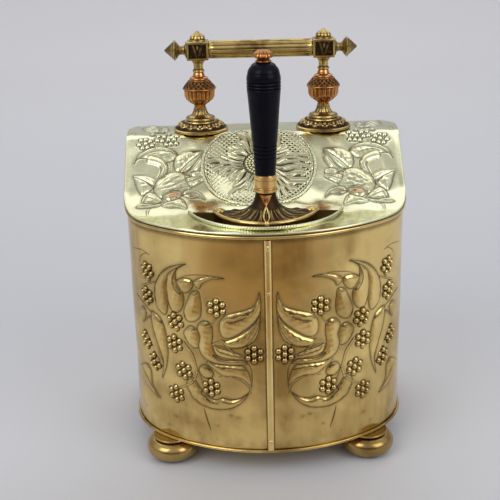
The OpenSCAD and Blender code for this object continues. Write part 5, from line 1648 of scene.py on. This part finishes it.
class SCUTTLE_OT_stage(bpy.types.Operator):
    """Sets the pale floor, the backdrop, the soft lights and the camera"""

    bl_idname = "scuttle.stage"
    bl_label = "Stage"

    def execute(self, context):
        self.paper()
        self.surroundings(context.scene)
        self.lamps(context.scene)
        self.camera(context.scene)
        return {"FINISHED"}

    def paper(self):
        """Wide floor that bends up into a backdrop behind the object."""
        deselect()
        bpy.ops.mesh.primitive_plane_add(size=200.0, location=(0, 0, 0))
        floor = bpy.context.active_object
        open_mesh()
        bpy.ops.mesh.select_all(action="DESELECT")
        close_mesh()
        corners = floor.data.vertices
        for v in corners:
            v.select = v.co.y > 0
        for e in floor.data.edges:
            e.select = all(corners[i].select for i in e.vertices)
        for v in corners:
            if v.select:
                v.co.y = 2.2
        bend, turn = 1.6, np.linspace(0, math.pi / 2, 13)
        steps = np.stack([0 * turn, bend * np.sin(turn), bend * (1 - np.cos(turn))], 1)
        bpy.ops.object.mode_set(mode="EDIT")
        for step in [*np.diff(steps, axis=0).tolist(), (0, 0, 5.0)]:
            bpy.ops.mesh.extrude_region_move(TRANSFORM_OT_translate={"value": step})
        close_mesh()
        floor.name = "studio_floor"
        floor.data.shade_smooth()
        mat, t, shader = new_material("studio paper")
        # pale paper round the object, with a brown painted shadow that darkens it in front
        place = node(t, "ShaderNodeTexCoord").outputs["Object"]
        moved = node(t, "ShaderNodeMapping", {"Vector": place, "Location": (0.12, 1.1, 0.0)})
        far = node(t, "ShaderNodeVectorMath", {0: moved.outputs["Vector"]}, operation="LENGTH")
        front_shadow = remap(t, far.outputs["Value"], 0.5, 1.08, 1.0, 0.0, interpolation_type="SMOOTHSTEP")
        back = node(t, "ShaderNodeSeparateXYZ", {0: place}).outputs["Y"]
        back = remap(t, back, 0.6, 2.6, 0.0, 1.0)
        paper = mix(t, back, (0.62, 0.63, 0.665, 1.0), (0.8, 0.8, 0.82, 1.0))
        col = mix(t, front_shadow, paper, (0.32, 0.225, 0.135, 1.0))
        feed(t, shader, {"Roughness": 0.55, "Base Color": col})
        floor.data.materials.append(mat)

    def surroundings(self, scene):
        """Soft room that the brass mirrors, dim in front and bright to the sides and above."""
        scene.world = bpy.data.worlds.new("studio")
        scene.world.use_nodes = True
        t = scene.world.node_tree
        incoming = node(t, "ShaderNodeNewGeometry").outputs["Incoming"]
        away = node(t, "ShaderNodeSeparateXYZ", {0: incoming}).outputs
        up, aside = maths(t, "MULTIPLY", away["Z"], -1.0), maths(t, "ABSOLUTE", away["X"])
        front, beside = (0.07, 0.06, 0.05, 1.0), (0.42, 0.42, 0.44, 1.0)
        col = mix(t, remap(t, aside, 0.45, 0.95, 0.0, 1.0), front, beside)
        col = mix(t, remap(t, away["Y"], 0.1, -0.3, 0.0, 1.0), col, beside)
        col = mix(t, remap(t, up, 0.12, 0.55, 0.0, 1.0), col, (0.7, 0.7, 0.72, 1.0))
        middle, sides = (0.44, 0.44, 0.44, 1.0), (0.72, 0.72, 0.72, 1.0)
        zenith = mix(t, remap(t, aside, 0.03, 0.2, 0.0, 1.0), middle, sides)
        col = mix(t, remap(t, up, 0.8, 0.96, 0.0, 1.0), col, zenith)
        feed(t, t.nodes["Background"], {"Color": col, "Strength": 0.9})

    def lamps(self, scene):
        for name, place, size, power in (
            ("key", (-1.6, -1.5, 2.0), (1.6, 1.6), 20),
            ("fill", (1.7, -1.4, 1.6), (1.6, 1.6), 16),
            ("top", (0.0, 1.8, 2.5), (3.6, 2.4), 22),
        ):
            light = bpy.data.lights.new(name, "AREA")
            light.shape = "RECTANGLE"
            light.size, light.size_y = size
            light.energy = power
            ob = bpy.data.objects.new(name, light)
            scene.collection.objects.link(ob)
            ob.location = place
            aim = Vector((0, 0, 0.2)) - Vector(place)
            ob.rotation_euler = aim.to_track_quat("-Z", "Y").to_euler()

    def camera(self, scene):
        cam = bpy.data.cameras.new("camera")
        cam.sensor_width = 36.0
        cam.lens = CAM_F / 500.0 * cam.sensor_width
        cam.clip_end = 50.0
        ob = bpy.data.objects.new("camera", cam)
        scene.collection.objects.link(ob)
        fwd, right, up = camera_axes()
        axes = np.stack([right, up, -fwd, CAM * MM], 1)
        ob.matrix_world = Matrix([*axes.tolist(), (0, 0, 0, 1)])
        scene.camera = ob
        scene.view_settings.view_transform = "Standard"


class SCUTTLE_PT_panel(bpy.types.Panel):
    """Buttons that make the scuttle's pieces"""

    bl_idname = "SCUTTLE_PT_panel"
    bl_label = "Coal Scuttle"
    bl_space_type = "VIEW_3D"
    bl_region_type = "UI"
    bl_category = "Coal Scuttle"

    def draw(self, context):
        col = self.layout.column()
        for op in OPERATORS:
            col.operator(op.bl_idname)
        for key in ScuttleFinishes.__annotations__:
            col.prop(context.scene.scuttle_finishes, key)
        for key in ScuttleRelief.__annotations__:
            col.prop(context.scene.scuttle_relief, key)


OPERATORS = (
    SCUTTLE_OT_finishes,
    SCUTTLE_OT_stage,
    SCUTTLE_OT_panels,
    SCUTTLE_OT_lid,
    SCUTTLE_OT_medallion,
    SCUTTLE_OT_mouldings,
    SCUTTLE_OT_feet,
    SCUTTLE_OT_posts,
    SCUTTLE_OT_slot_bead,
    SCUTTLE_OT_shovel,
)
CLASSES = (ScuttleFinishes, ScuttleRelief, *OPERATORS, SCUTTLE_PT_panel)


def register():
    for c in CLASSES:
        bpy.utils.register_class(c)
    bpy.types.Scene.scuttle_finishes = bpy.props.PointerProperty(type=ScuttleFinishes)
    bpy.types.Scene.scuttle_relief = bpy.props.PointerProperty(type=ScuttleRelief)


def unregister():
    del bpy.types.Scene.scuttle_relief
    del bpy.types.Scene.scuttle_finishes
    for c in reversed(CLASSES):
        bpy.utils.unregister_class(c)


def main():
    register()
    for op in OPERATORS:
        group, name = op.bl_idname.split(".")
        if getattr(getattr(bpy.ops, group), name)() != {"FINISHED"}:
            raise RuntimeError(op.bl_label + " could not be made")


if __name__ == "__main__":
    main()
